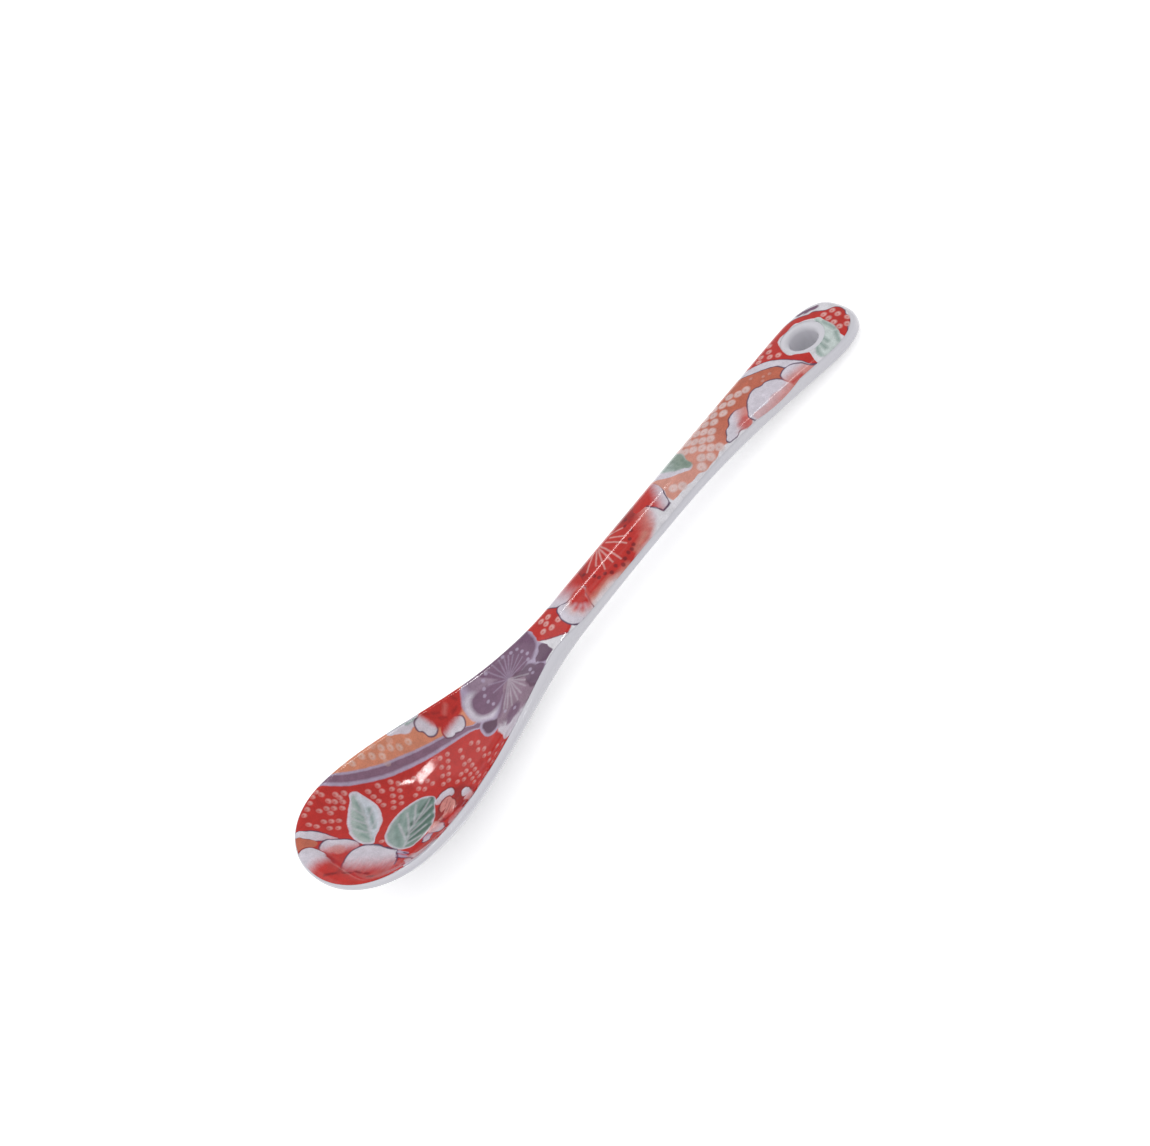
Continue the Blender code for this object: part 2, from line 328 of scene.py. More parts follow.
def printed_film(name, rows, first, last, material):
    """Lay a thin film over the upper skin between two stations; one petal rolls over the near side."""
    bm = bmesh.new()
    bmesh.ops.create_grid(bm, x_segments=rows, y_segments=ROW_SEGMENTS, size=0.5)
    for vert in bm.verts:
        x = first + (last - first) * (1.0 - math.cos(math.pi * (vert.co.x + 0.5))) / 2
        narrowing = ease(MARGIN_NARROWS_AT, MARGIN_NARROW_AT, x)
        margin = BOWL_NEAR_MARGIN + (HANDLE_NEAR_MARGIN - BOWL_NEAR_MARGIN) * narrowing
        near = half_width(x, margin, TIP_MARGIN, END_MARGIN) / half_width(x)
        far = half_width(x, FAR_MARGIN, TIP_MARGIN, END_MARGIN) / half_width(x)
        roll_over = ROLL_OVER_ANGLE * max(0.0, 1.0 - ((x - ROLL_OVER_AT) / ROLL_OVER_REACH) ** 2)
        near_angle = math.pi - math.acos(near) + roll_over
        angle = near_angle + (math.acos(far) - near_angle) * (vert.co.y + 0.5)
        vert.co = skin_point(x, angle)
    bmesh.ops.remove_doubles(bm, verts=bm.verts, dist=FILM_MERGE_WITHIN)
    bm.normal_update()
    for vert in bm.verts:
        vert.co += vert.normal * FILM_GAP
    film = new_piece(name, bm, material)
    solid = film.modifiers.new("Film thickness", "SOLIDIFY")
    solid.thickness = FILM_THICKNESS
    solid.offset = 1.0
    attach(film, "root")
    return film


# Fired transfer print: flat ceramic colours with slightly soft edges and a fine grain, under gloss.
# Every place below is in millimetres of the plan, along from the spoon's middle and towards its far side.
RED = paint("#BC2E29")
DEEP_RED = paint("#7F1A1E")
PINK = paint("#CE857F")
RING_PINK = paint("#DFB3AF")
ORANGE = paint("#D2886C")
DEEP_ORANGE = paint("#BC6650")
PALE_ORANGE = paint("#DCBFB4")
MAUVE = paint("#755670")
BAND_MAUVE = paint("#84647A")
DARK_MAUVE = paint("#5F4057")
GREY_MAUVE = paint("#8D7486")
PLUM = paint("#4A3050")
LAVENDER = paint("#AC9DB6")
PETAL_WHITE = paint("#CFC9D4")
PALE_SAGE = paint("#A6B4B0")
BLUE_SAGE = paint("#C9CFD9")
GREY_SAGE = paint("#92A4A0")
SAGE = paint("#768F88")
DEEP_SAGE = paint("#506B60")
SALMON = paint("#CF9284")
EDGE_SOFTNESS = 0.22
WANDER = 0.08
WANDER_SIZE = 0.9
STREAK_WIDTH = 0.45
STREAKS = 0.3
FINE_NOISE = 0.6
GRAIN_SIZE = 0.22 * MM
GRAIN = 0.1
BLOTCH_SIZE = 1.3 * MM
BLOTCH = 0.09
PRINT_ROUGHNESS = (0.07, 0.13)
RING_RADIUS = 0.34
RING_EYE_RADIUS = 0.14
RING_EYE = Vector((-0.1, 0.02, 0.0))
RING_SOFTNESS = 0.38
RING_STRENGTH = 0.85
HANDLE_RING_RADIUS = 0.5
LINE = 0.16
TURN_SHARE = 0.8
RADIUS_ROOM = 1.1


class TransferPrint:
    """A print's colours, laid one over another on its ground colour."""

    def __init__(self, name, ground):
        self.material = bpy.data.materials.new(name)
        self.material.use_nodes = True
        self.sheet = self.tree = self.material.node_tree
        self.place = self.add("TexCoord", take="Object")
        to_mm = (1 / MM, 1 / MM, 0.0)
        flat = self.add("VectorMath", self.place, to_mm, operation="MULTIPLY")
        wander = self.add("TexNoise", flat, 1 / WANDER_SIZE, Detail=1.0, take="Color")
        wander = self.add("VectorMath", wander, (0.5, 0.5, 0.5), operation="SUBTRACT")
        sway = (2 * WANDER, 2 * WANDER, 0.0)
        plan = self.add("VectorMath", wander, sway, flat, operation="MULTIPLY_ADD")
        self.drawn = (plan, ground)

    def begin(self, motif):
        """Start a motif, which is a node group of its own over the colours laid so far."""
        self.end()
        self.tree = bpy.data.node_groups.new(motif, "ShaderNodeTree")
        for name, kind in (("Plan", "Vector"), ("Colour", "Color")):
            self.tree.interface.new_socket(name, in_out="INPUT", socket_type="NodeSocket" + kind)
        self.tree.interface.new_socket("Colour", in_out="OUTPUT", socket_type="NodeSocketColor")
        given = self.tree.nodes.new("NodeGroupInput").outputs
        self.plan = given["Plan"]
        self.colour = given["Colour"]

    def end(self):
        """Finish the motif in hand, and lay it on the print."""
        if self.tree is not self.sheet:
            result = self.tree.nodes.new("NodeGroupOutput")
            self.tree.links.new(self.colour, result.inputs["Colour"])
            colour = add(self.sheet, "Group", *self.drawn, node_tree=self.tree)
            self.drawn = (self.drawn[0], colour)
            self.tree = self.sheet

    def add(self, kind, *inputs, **settings):
        """Add a node to the motif in hand, or else to the print's own sheet."""
        return add(self.tree, kind, *inputs, **settings)

    def outline(self, *corners, centre=None):
        """Millimetres inside a drawn outline: its radius is a curve round a centre."""
        corners = [Vector(corner).to_3d() for corner in corners]
        middle = Vector(centre).to_3d() if centre else sum(corners, Vector()) / len(corners)
        reach = RADIUS_ROOM * max((corner - middle).length for corner in corners)
        knots = []
        for corner in corners:
            spoke = corner - middle
            turn = 0.5 + TURN_SHARE * math.atan2(spoke.y, spoke.x) / math.tau
            for wrapped in (turn - TURN_SHARE, turn, turn + TURN_SHARE):
                if 0.0 <= wrapped <= 1.0:
                    knots.append((wrapped, spoke.length / reach))
        knots.sort()
        spoke = self.add("VectorMath", self.plan, -middle)
        along = self.add("VectorMath", spoke, (1.0, 0.0, 0.0), operation="DOT_PRODUCT")
        aside = self.add("VectorMath", spoke, (0.0, 1.0, 0.0), operation="DOT_PRODUCT")
        turn = self.add("Math", aside, along, operation="ARCTAN2")
        turn = self.add("Math", turn, TURN_SHARE / math.tau, 0.5, operation="MULTIPLY_ADD")
        radius = self.add("FloatCurve", 1.0, turn)
        mapping = radius.node.mapping
        points = mapping.curves[0].points
        points[0].location = knots[0]
        points[1].location = knots[-1]
        for knot in knots[1:-1]:
            points.new(*knot)
        for point in points:
            point.handle_type = "AUTO_CLAMPED"
        mapping.update()
        length = self.add("VectorMath", spoke, operation="LENGTH")
        radius = self.add("Math", radius, reach, operation="MULTIPLY")
        return self.add("Math", radius, length, operation="SUBTRACT")

    def inside(self, depth, inset=0.0, soft=EDGE_SOFTNESS):
        """1 within an outline that is drawn in by an inset, 0 outside it."""
        offset = 0.5 - inset / soft
        return self.add("Math", depth, 1 / soft, offset, operation="MULTIPLY_ADD", use_clamp=True)

    def lay(self, colour, mask, strength=1.0):
        """Print a colour over what is there."""
        if strength < 1.0:
            mask = self.add("Math", mask, strength, operation="MULTIPLY")
        self.colour = self.add("Mix", mask, self.colour, colour, data_type="RGBA")

    def patch(self, colour, *corners, centre=None, soft=EDGE_SOFTNESS, strength=1.0):
        """Print one flat shape."""
        depth = self.outline(*corners, centre=centre)
        self.lay(colour, self.inside(depth, soft=soft), strength)

    def fade(self, start, end, streaks=STREAKS):
        """0 at one place and 1 at another, with the fine streaks of a drawn petal between them."""
        start = Vector(start).to_3d()
        along = Vector(end).to_3d() - start
        across = Vector((-along.y, along.x, 0.0)).normalized()
        place = self.add("VectorMath", self.plan, -start)
        share = along / along.length_squared
        share = self.add("VectorMath", place, share, operation="DOT_PRODUCT")
        aside = self.add("VectorMath", place, across, operation="DOT_PRODUCT")
        streak = self.add("CombineXYZ", share, aside)
        streak = self.add("TexNoise", streak, 1 / STREAK_WIDTH, Roughness=FINE_NOISE)
        share = self.add("Math", streak, streaks, share, operation="MULTIPLY_ADD")
        low = streaks / 2
        return self.add("MapRange", share, low, 1.0 + low, interpolation_type="SMOOTHSTEP")

    def petal(self, tip, root, *corners, centre=None, pale=PETAL_WHITE, deep=RED, line=PLUM):
        """Print a petal that goes from pale at its tip to deep at its root, with a fine dark line."""
        depth = self.outline(*corners, centre=centre)
        fade = self.fade(tip, root)
        line_colour = self.add("Mix", fade, line, deep, data_type="RGBA")
        self.lay(line_colour, self.inside(depth, -LINE))
        shade = self.add("Mix", fade, pale, deep, data_type="RGBA")
        self.lay(shade, self.inside(depth, LINE / 2))

    def within(self, distance, reach, soft=EDGE_SOFTNESS):
        """1 within reach of a place, 0 beyond it."""
        offset = 0.5 + reach / soft
        return self.add("Math", distance, -1 / soft, offset, operation="MULTIPLY_ADD", use_clamp=True)

    def nearest(self, distances):
        """The least of some distances, which are worked out and compared one by one."""
        least = next(distances)
        for distance in distances:
            least = self.add("Math", least, distance, operation="MINIMUM")
        return least

    def from_places(self, places):
        """Distance from the nearest of some places."""
        return self.nearest(
            self.add("VectorMath", self.plan, place, operation="DISTANCE") for place in places
        )

    def from_stroke(self, start, end):
        """Distance from a straight stroke."""
        start = Vector(start).to_3d()
        along = Vector(end).to_3d() - start
        place = self.add("VectorMath", self.plan, -start)
        share = along / along.length_squared
        share = self.add("VectorMath", place, share, operation="DOT_PRODUCT")
        share = self.add("Clamp", share, 0.0, 1.0)
        foot = self.add("VectorMath", along, Scale=share, operation="SCALE")
        return self.add("VectorMath", place, foot, operation="DISTANCE")

    def strokes(self, colour, width, *lines, strength=1.0, soft=EDGE_SOFTNESS, on=None):
        """Print fine strokes, each from place to place, where a mask lets them show."""
        pairs = [pair for line in lines for pair in zip(line, line[1:])]
        nearest = self.nearest(self.from_stroke(*pair) for pair in pairs)
        mask = self.within(nearest, width / 2, soft)
        if on:
            mask = self.add("Math", mask, on, operation="MULTIPLY")
        self.lay(colour, mask, strength)

    def dots(self, colour, radius, *centres, strength=1.0):
        """Print round dots."""
        nearest = self.from_places(Vector(centre).to_3d() for centre in centres)
        self.lay(colour, self.within(nearest, radius), strength)

    def rings(self, colour, *rows, radius=RING_RADIUS, eye_radius=RING_EYE_RADIUS):
        """Print rows of tie-dye rings: each row is its first place, its last place and a count."""
        centres = []
        for first, last, count in rows:
            first = Vector(first).to_3d()
            last = Vector(last).to_3d()
            centres += [first.lerp(last, step / max(1, count - 1)) for step in range(count)]
        eyes = [centre + RING_EYE for centre in centres]
        ring = self.within(self.from_places(centres), radius, RING_SOFTNESS)
        eye = self.within(self.from_places(eyes), eye_radius, RING_SOFTNESS)
        ring = self.add("Math", ring, eye, operation="SUBTRACT", use_clamp=True)
        self.lay(colour, ring, RING_STRENGTH)

    def fired(self):
        """Finish the material: grain in the colour, and a gloss that follows the glaze below."""
        self.end()
        grain = self.add("TexNoise", self.place, 1 / GRAIN_SIZE, Roughness=FINE_NOISE)
        blotch = self.add("TexNoise", self.place, 1 / BLOTCH_SIZE)
        light = self.add("MapRange", grain, *NOISE_RANGE, 1.0 - GRAIN, 1.0 + GRAIN)
        cloud = self.add("MapRange", blotch, *NOISE_RANGE, 1.0 - BLOTCH, 1.0 + BLOTCH)
        light = self.add("Math", light, cloud, operation="MULTIPLY")
        colour = self.add("VectorMath", self.drawn[1], Scale=light, operation="SCALE")
        gloss = self.add("MapRange", grain, *NOISE_RANGE, *PRINT_ROUGHNESS)
        peel = self.add("TexNoise", self.place, 1 / PEEL_SIZE)
        normal = self.add("Bump", Strength=1.0, Distance=PEEL_HEIGHT, Height=peel)
        dress(self.material, colour, gloss, normal)
        return self.material


def neck_patch(film):
    """The red field on the neck, which runs over the join of the two films."""
    film.patch(
        RED,
        (-12.0, 4.6), (-12.1, 2.6), (-12.6, 1.2), (-13.0, 0.2), (-12.4, -0.8), (-11.0, -2.3),
        (-9.8, -3.5), (-9.0, -3.7), (-8.0, -3.4), (-7.2, -2.0), (-6.4, 0.4), (-6.2, 2.0), (-6.2, 4.6),
        centre=(-9.6, 0.6),
    )
    film.strokes(PLUM, LINE, ((-12.8, -0.2), (-11.0, -2.4), (-9.2, -3.7)), strength=0.7)
    film.rings(
        RING_PINK,
        ((-9.8, 2.5), (-9.8, 1.1), 2), ((-8.6, 1.8), (-8.2, -0.6), 2), ((-11.2, 0.5), (-9.9, -0.5), 2),
        radius=HANDLE_RING_RADIUS,
    )


bowl = TransferPrint("Fired transfer print on red", RED)

# Rings on the red, in rows as the knots were tied
bowl.begin("Rings on the red")
bowl.rings(
    RING_PINK,
    ((-58.8, 12.2), (-55.4, 13.8), 4), ((-54.4, 14.0), (-54.2, 13.2), 2),
    ((-56.6, 11.5), (-55.5, 11.2), 2), ((-54.3, 11.9), (-52.7, 12.0), 2),
    ((-53.7, 11.3), (-51.6, 11.4), 3), ((-54.7, 10.6), (-52.9, 10.6), 2),
    ((-55.7, 10.3), (-53.8, 9.9), 2), ((-59.6, 10.5), (-59.0, 9.6), 2), ((-57.6, 9.7), (-55.9, 8.5), 3),
    ((-57.9, 8.2), (-57.0, 7.4), 2), ((-48.9, 9.4), (-49.2, 6.1), 4), ((-47.1, 9.1), (-47.4, 8.1), 2),
    ((-45.3, 8.2), (-48.6, 4.4), 5), ((-44.7, 7.2), (-47.2, 4.1), 4), ((-54.8, -0.6), (-54.8, -0.6), 1),
    ((-42.3, 4.4), (-44.7, 3.4), 3), ((-41.6, 3.6), (-41.5, 2.4), 2), ((-43.0, 2.9), (-43.0, 2.9), 1),
    ((-43.6, 6.2), (-40.4, 5.2), 4), ((-36.1, 3.7), (-39.7, 0.0), 5), ((-37.3, 4.4), (-40.7, 0.4), 4),
    ((-34.5, 1.9), (-36.9, -1.9), 4), ((-37.8, -1.4), (-38.3, -2.7), 2),
    ((-39.2, -1.8), (-39.2, -1.8), 1), ((-35.2, -1.1), (-36.8, -5.8), 5),
    ((-37.1, -3.2), (-38.0, -5.6), 3), ((-32.6, 0.7), (-33.8, -5.8), 4),
    ((-32.0, -0.6), (-32.8, -4.6), 3), ((-34.2, -7.6), (-34.4, -9.0), 2),
    ((-32.6, -6.8), (-32.7, -8.4), 2), ((-31.2, -5.6), (-30.8, -7.4), 2),
    ((-36.2, -7.6), (-36.6, -9.6), 2), ((-37.9, -8.0), (-38.2, -10.2), 2),
)

# Mauve band with pale edges, and the orange field beyond it with its own rings
bowl.begin("Mauve band and orange field")
ORANGE_RING_RADIUS = 0.44
band = bowl.outline(
    (-53.5, 16.5), (-51.5, 14.2), (-49.5, 12.6), (-47.0, 11.2), (-44.0, 9.7), (-41.0, 8.4),
    (-38.0, 7.0), (-36.0, 6.1), (-34.0, 5.1), (-32.4, 4.1), (-30.7, 2.9), (-28.6, 1.2), (-22.0, 6.0),
    (-20.0, 20.0), (-26.0, 32.0), (-40.0, 34.0), (-52.0, 28.0), (-56.0, 20.0),
    centre=(-33.0, 25.0),
)
bowl.lay(LAVENDER, bowl.inside(band, -1.15))
bowl.lay(BAND_MAUVE, bowl.inside(band, -0.6, 0.35))
bowl.lay(LAVENDER, bowl.inside(band, 0.6))
bowl.lay(ORANGE, bowl.inside(band, 0.95))
bowl.rings(
    PALE_ORANGE,
    ((-47.8, 14.3), (-46.9, 13.3), 2), ((-45.0, 13.0), (-42.8, 11.1), 3),
    ((-41.9, 11.8), (-39.9, 10.1), 3), ((-38.3, 9.6), (-38.3, 9.6), 1),
    radius=ORANGE_RING_RADIUS,
)
bowl.dots(
    PALE_ORANGE, 0.5,
    (-42.6, 12.8), (-40.1, 11.5), (-44.0, 14.0), (-43.2, 10.2),
    strength=0.3,
)

# Leaf and small peony at the far rim
bowl.begin("Small peony")
bowl.patch(
    PETAL_WHITE,
    (-39.6, 12.4), (-38.7, 11.3), (-37.8, 10.5), (-36.5, 10.0), (-35.4, 9.9), (-34.2, 10.2),
    (-33.6, 11.0), (-35.5, 12.0), (-38.0, 13.2),
)
bowl.strokes(
    SAGE, 0.5,
    ((-36.3, 11.0), (-34.4, 10.3)), ((-39.0, 12.6), (-36.4, 11.6)),
    strength=0.8, soft=0.4,
)
bowl.patch(
    RED,
    (-33.6, 10.6), (-33.6, 9.7), (-33.7, 8.7), (-33.7, 7.7), (-33.2, 6.9), (-31.9, 6.2), (-30.5, 5.7),
    (-29.0, 5.6), (-27.4, 6.4), (-26.4, 7.5), (-28.3, 9.0), (-30.2, 10.0), (-32.1, 10.8),
    soft=0.6,
)
bowl.petal(
    (-34.4, 8.5), (-33.1, 8.7),
    (-34.4, 10.2), (-35.5, 10.0), (-35.9, 9.3), (-35.5, 8.6), (-35.5, 7.8), (-34.8, 7.2), (-33.9, 7.2),
    (-33.3, 7.8), (-32.9, 9.0), (-33.2, 10.0),
    line=DARK_MAUVE,
)
bowl.petal(
    (-31.6, 4.9), (-31.4, 6.6),
    (-33.4, 6.7), (-33.9, 6.0), (-33.6, 4.9), (-32.9, 4.5), (-32.5, 4.5), (-31.7, 3.8), (-30.5, 3.9),
    (-29.8, 4.8), (-30.2, 5.9), (-31.6, 6.6), (-32.8, 6.9),
    centre=(-31.8, 5.4), line=DARK_MAUVE,
)
bowl.strokes(
    DEEP_RED, 0.35,
    ((-32.2, 8.9), (-31.6, 8.3)), ((-32.1, 7.8), (-31.4, 7.1)), ((-30.2, 6.6), (-29.0, 6.6)),
    ((-28.1, 7.2), (-28.2, 8.2)), ((-33.4, 10.0), (-32.8, 9.3)),
    strength=0.6, soft=0.5,
)
bowl.strokes(PINK, 0.5, ((-31.0, 7.6), (-29.9, 8.0)), strength=0.5, soft=0.7)

# Plum blossom: five mauve petals round their stamens, with a pale rim on the outer ones
bowl.begin("Plum blossom")
BLOSSOM = (-20.7, 1.1)
sepal = bowl.outline(
    (-29.2, 0.6), (-28.1, 0.5), (-26.8, -0.6), (-27.6, -2.2), (-29.1, -2.3), (-29.9, -1.7),
    (-29.9, -0.4),
)
bowl.lay(LAVENDER, bowl.inside(sepal, -0.5))
bowl.lay(DARK_MAUVE, bowl.inside(sepal, 0.0, 0.4))
bowl.patch(
    LAVENDER,
    (-26.0, 7.6), (-27.6, 6.6), (-28.7, 5.6), (-29.3, 3.8), (-29.2, 1.6), (-28.2, 0.0), (-26.8, -1.6),
    (-23.6, -1.2), BLOSSOM, (-21.8, 4.6), (-23.4, 7.4),
    centre=(-25.0, 3.2), soft=0.4,
)
bowl.patch(
    PETAL_WHITE,
    (-27.0, 6.2), (-28.5, 5.3), (-29.1, 3.8), (-29.0, 1.9), (-28.0, 0.4), (-26.6, -0.6), (-24.8, 0.4),
    (-24.0, 3.0), (-25.2, 5.4),
    soft=0.7, strength=0.75,
)
bowl.patch(
    GREY_MAUVE,
    (-25.6, 7.4), (-22.0, 7.8), (-19.0, 6.8), BLOSSOM, (-23.4, 3.2), (-25.6, 5.6),
    centre=(-22.4, 5.2), soft=1.2, strength=0.8,
)
bowl.patch(
    MAUVE,
    (-26.1, 5.2), (-27.3, 4.9), (-28.0, 3.8), (-28.1, 2.2), (-27.1, 0.6), (-25.7, -0.1), (-23.7, 0.1),
    BLOSSOM, (-21.9, 3.2), (-23.6, 4.2), (-24.9, 5.0),
    centre=(-24.8, 2.4), soft=0.8,
)
bowl.patch(
    LAVENDER,
    (-20.2, 0.4), (-17.0, 1.0), (-13.0, 0.4), (-12.6, -1.0), (-12.7, -3.5), (-15.0, -4.6),
    (-19.8, -6.2),
    centre=(-16.6, -1.6),
)
upper = bowl.outline(
    (-22.5, 7.2), (-19.0, 7.0), (-16.0, 6.4), (-11.6, 5.6), (-11.8, 3.3), (-12.3, 1.0), (-13.1, -0.3),
    (-14.3, -1.0), (-15.8, -1.2), (-16.8, -0.5), (-19.1, -0.2), BLOSSOM, (-21.6, 3.0), (-22.4, 5.0),
    centre=(-16.8, 2.4),
)
paling = bowl.fade((-16.6, 1.4), (-13.6, 0.4))
edge = bowl.add("Mix", paling, MAUVE, LAVENDER, data_type="RGBA")
bowl.lay(edge, bowl.inside(upper, 0.0, 0.4))
bowl.lay(MAUVE, bowl.inside(upper, 0.7, 0.6))
lower = bowl.outline(
    BLOSSOM, (-23.7, 0.0), (-25.3, -0.9), (-27.1, -1.5), (-28.6, -3.1), (-29.1, -5.0), (-29.0, -9.0),
    (-24.0, -8.0), (-19.8, -6.4), (-19.6, -3.4), (-19.0, -1.7), (-19.4, -0.3),
    centre=(-23.6, -3.4),
)
paling = bowl.fade((-24.6, -4.4), (-26.0, -6.2), 0.8)
pale_end = bowl.add("Mix", paling, GREY_MAUVE, PETAL_WHITE, data_type="RGBA")
bowl.lay(pale_end, bowl.inside(lower, 0.0, 0.3))
bowl.strokes(PETAL_WHITE, 0.9, ((-28.5, -3.6), (-28.4, -8.0)), strength=0.9, soft=0.5)
bowl.strokes(MAUVE, 0.7, ((-22.6, 0.1), (-26.6, -1.6)), strength=0.8, soft=0.6)
bowl.patch(
    MAUVE,
    (-23.9, -3.2), (-23.3, -4.5), (-24.1, -5.1), (-25.9, -5.3), (-27.4, -4.8), (-26.9, -3.9),
    (-25.2, -3.1),
    soft=0.6, strength=0.85,
)
bowl.patch(
    DARK_MAUVE,
    (-20.2, 0.5), (-18.4, -0.4), (-17.0, -0.8), (-16.5, -2.3), (-15.7, -4.0), (-17.4, -4.8),
    (-19.7, -5.4), (-19.9, -3.4), (-19.1, -1.7),
    centre=(-17.8, -2.4), soft=0.5, strength=0.85,
)
bowl.strokes(
    LAVENDER, 0.45,
    ((-16.8, -0.7), (-16.1, -1.8), (-15.4, -4.0)), ((-15.9, -1.2), (-13.2, -0.4)),
    strength=0.9,
)
bowl.patch(
    DARK_MAUVE,
    (-13.3, -0.6), (-12.8, -1.2), (-12.8, -3.3), (-14.2, -3.9), (-15.1, -3.9), (-15.8, -1.6),
    (-14.5, -1.2),
    soft=0.35, strength=0.9,
)


def spray(colour, width, strength, *ends):
    """Print fine strokes from the blossom's middle."""
    bowl.strokes(colour, width, *[(BLOSSOM, end) for end in ends], strength=strength, soft=0.3)


spray(
    LAVENDER, 0.2, 0.5,
    (-21.5, 5.5), (-20.1, 5.7), (-18.9, 5.0), (-18.1, 4.3), (-17.4, 3.9), (-16.9, 3.2), (-16.4, 2.2),
    (-16.5, 1.2), (-16.6, -0.1), (-23.1, 4.0), (-23.8, 2.3),
)
spray(
    PETAL_WHITE, 0.26, 0.38,
    (-18.5, -2.1), (-19.6, -2.2), (-20.4, -3.2), (-21.8, -3.2), (-23.0, -3.4), (-24.2, -2.9),
    (-24.9, -2.2), (-25.3, -1.6),
)
bowl.dots(
    LAVENDER, 0.32,
    (-18.1, 4.7), (-16.8, 3.8), (-15.8, 3.2), (-15.7, 2.0), (-15.6, 0.7), (-16.4, -0.2), (-21.9, 5.5),
    (-23.1, 5.2), (-24.1, 4.3), (-25.0, 3.5), (-25.5, 2.3), (-25.4, 1.0), (-17.7, -1.9), (-18.0, -2.9),
    (-25.5, -2.2), (-24.4, -3.9),
    strength=0.8,
)

# Bare porcelain between the blossom and the neck's red field
bowl.begin("Neck of the bowl")
bowl.patch(
    PORCELAIN_WHITE,
    (-13.0, 0.3), (-12.2, -0.9), (-11.0, -2.4), (-9.4, -3.6), (-9.2, -6.0), (-16.0, -6.0),
    (-15.6, -4.2), (-13.0, -3.6), (-12.7, -1.8),
    centre=(-12.2, -3.6),
)
neck_patch(bowl)

# White band, orange field and peony petals round the tip
bowl.begin("Petals round the tip")
bowl.petal(
    (-61.0, 9.0), (-58.0, 2.0),
    (-62.9, 10.1), (-62.2, 10.7), (-61.7, 10.5), (-60.6, 9.6), (-59.6, 8.6), (-59.0, 7.4), (-58.7, 6.2),
    (-58.6, 5.4), (-59.4, 6.2), (-60.4, 6.7), (-61.1, 7.3), (-61.6, 8.2), (-62.4, 9.3),
    centre=(-60.4, 8.2),
)
bowl.patch(
    DEEP_ORANGE,
    (-64.6, 7.4), (-63.4, 9.6), (-62.7, 9.6), (-61.9, 8.4), (-61.2, 7.4), (-61.3, 6.8), (-62.0, 6.3),
    (-63.0, 6.7),
)
bowl.petal(
    (-64.0, 4.4), (-64.6, 0.4),
    (-66.2, 4.0), (-65.3, 6.2), (-64.2, 6.9), (-63.0, 6.6), (-62.3, 5.6), (-62.0, 4.4), (-62.0, 3.2),
    (-62.3, 1.8), (-62.7, 0.6), (-63.2, -0.6), (-63.9, -2.6), (-65.0, -2.0), (-66.4, -1.0),
    (-66.6, 1.0),
    centre=(-64.2, 2.6), line=DEEP_RED,
)
bowl.petal(
    (-58.5, 4.8), (-60.7, 1.8),
    (-62.0, 5.4), (-61.2, 6.2), (-60.2, 6.5), (-59.2, 5.9), (-58.2, 4.9), (-57.5, 3.8), (-57.2, 2.6),
    (-57.4, 1.6), (-58.6, 1.2), (-60.4, 0.4), (-61.6, -0.4), (-62.3, 1.8), (-62.0, 3.6),
    centre=(-60.0, 3.2),
)
bowl.patch(
    PINK,
    (-60.9, 4.6), (-60.0, 4.6), (-59.2, 3.8), (-59.4, 2.6), (-60.4, 2.1), (-61.0, 3.0),
    soft=0.5, strength=0.6,
)
bowl.petal(
    (-57.4, -1.8), (-62.2, -5.8),
    (-63.4, -3.4), (-62.4, -1.2), (-61.2, 0.1), (-60.0, 0.9), (-58.6, 1.3), (-57.2, 1.0), (-56.2, 0.1),
    (-55.6, -0.9), (-55.5, -2.2), (-55.2, -3.4), (-54.7, -4.6), (-55.4, -5.6), (-55.9, -6.6),
    (-56.4, -7.6), (-57.6, -8.8), (-58.8, -9.8), (-60.1, -11.2), (-62.2, -10.6), (-64.4, -8.0),
    (-65.6, -5.4),
    centre=(-59.4, -4.4),
)
bowl.strokes(
    DEEP_RED, 0.5,
    ((-65.4, -1.0), (-64.2, -2.4)), ((-63.3, -3.4), (-62.7, -4.2)), ((-61.9, -4.2), (-61.7, -5.2)),
    ((-61.4, -6.0), (-61.2, -6.8)), ((-61.6, -7.6), (-61.2, -8.6)),
    strength=0.9, soft=0.5,
)
bowl.strokes(
    DEEP_RED, 0.6,
    ((-64.0, -3.0), (-62.9, -1.8)), ((-62.6, 0.6), (-62.1, 3.4)),
    strength=0.5, soft=0.7,
)
bowl.patch(
    RED,
    (-60.4, -11.2), (-58.6, -9.8), (-57.2, -8.8), (-56.8, -10.6), (-56.8, -13.6), (-59.0, -13.4),
    soft=0.4, strength=0.8,
)

# Stems and pale petals on the near wall, below the leaves
bowl.begin("Stems and pale petals")
bowl.petal(
    (-54.4, -12.0), (-54.6, -7.4),
    (-57.0, -14.6), (-56.6, -11.4), (-55.8, -9.0), (-54.7, -8.4), (-53.6, -10.0), (-51.8, -10.6),
    (-51.2, -14.8),
    centre=(-54.2, -12.2), line=RED,
)
bowl.strokes(LAVENDER, 0.7, ((-55.6, -6.2), (-55.2, -8.6)), ((-54.9, -5.4), (-54.5, -7.6)))
bowl.strokes(
    PLUM, 0.28,
    ((-56.0, -6.6), (-55.6, -8.4), (-55.1, -10.2), (-55.3, -12.4)), ((-54.6, -6.6), (-54.5, -8.4)),
    ((-55.1, -5.2), (-55.9, -6.9), (-57.4, -8.6)),
    strength=0.85,
)
bowl.petal(
    (-50.6, -8.0), (-49.2, -6.2),
    (-51.4, -7.8), (-50.8, -8.4), (-49.8, -7.8), (-49.1, -6.4), (-50.0, -6.4), (-51.0, -7.0),
    deep=LAVENDER,
)
bowl.petal(
    (-47.6, -8.6), (-47.8, -4.4),
    (-49.1, -5.6), (-48.9, -7.4), (-48.3, -8.6), (-47.6, -8.9), (-47.0, -7.8), (-46.8, -6.0),
    (-47.3, -4.6), (-48.4, -4.8),
    deep=PINK,
)
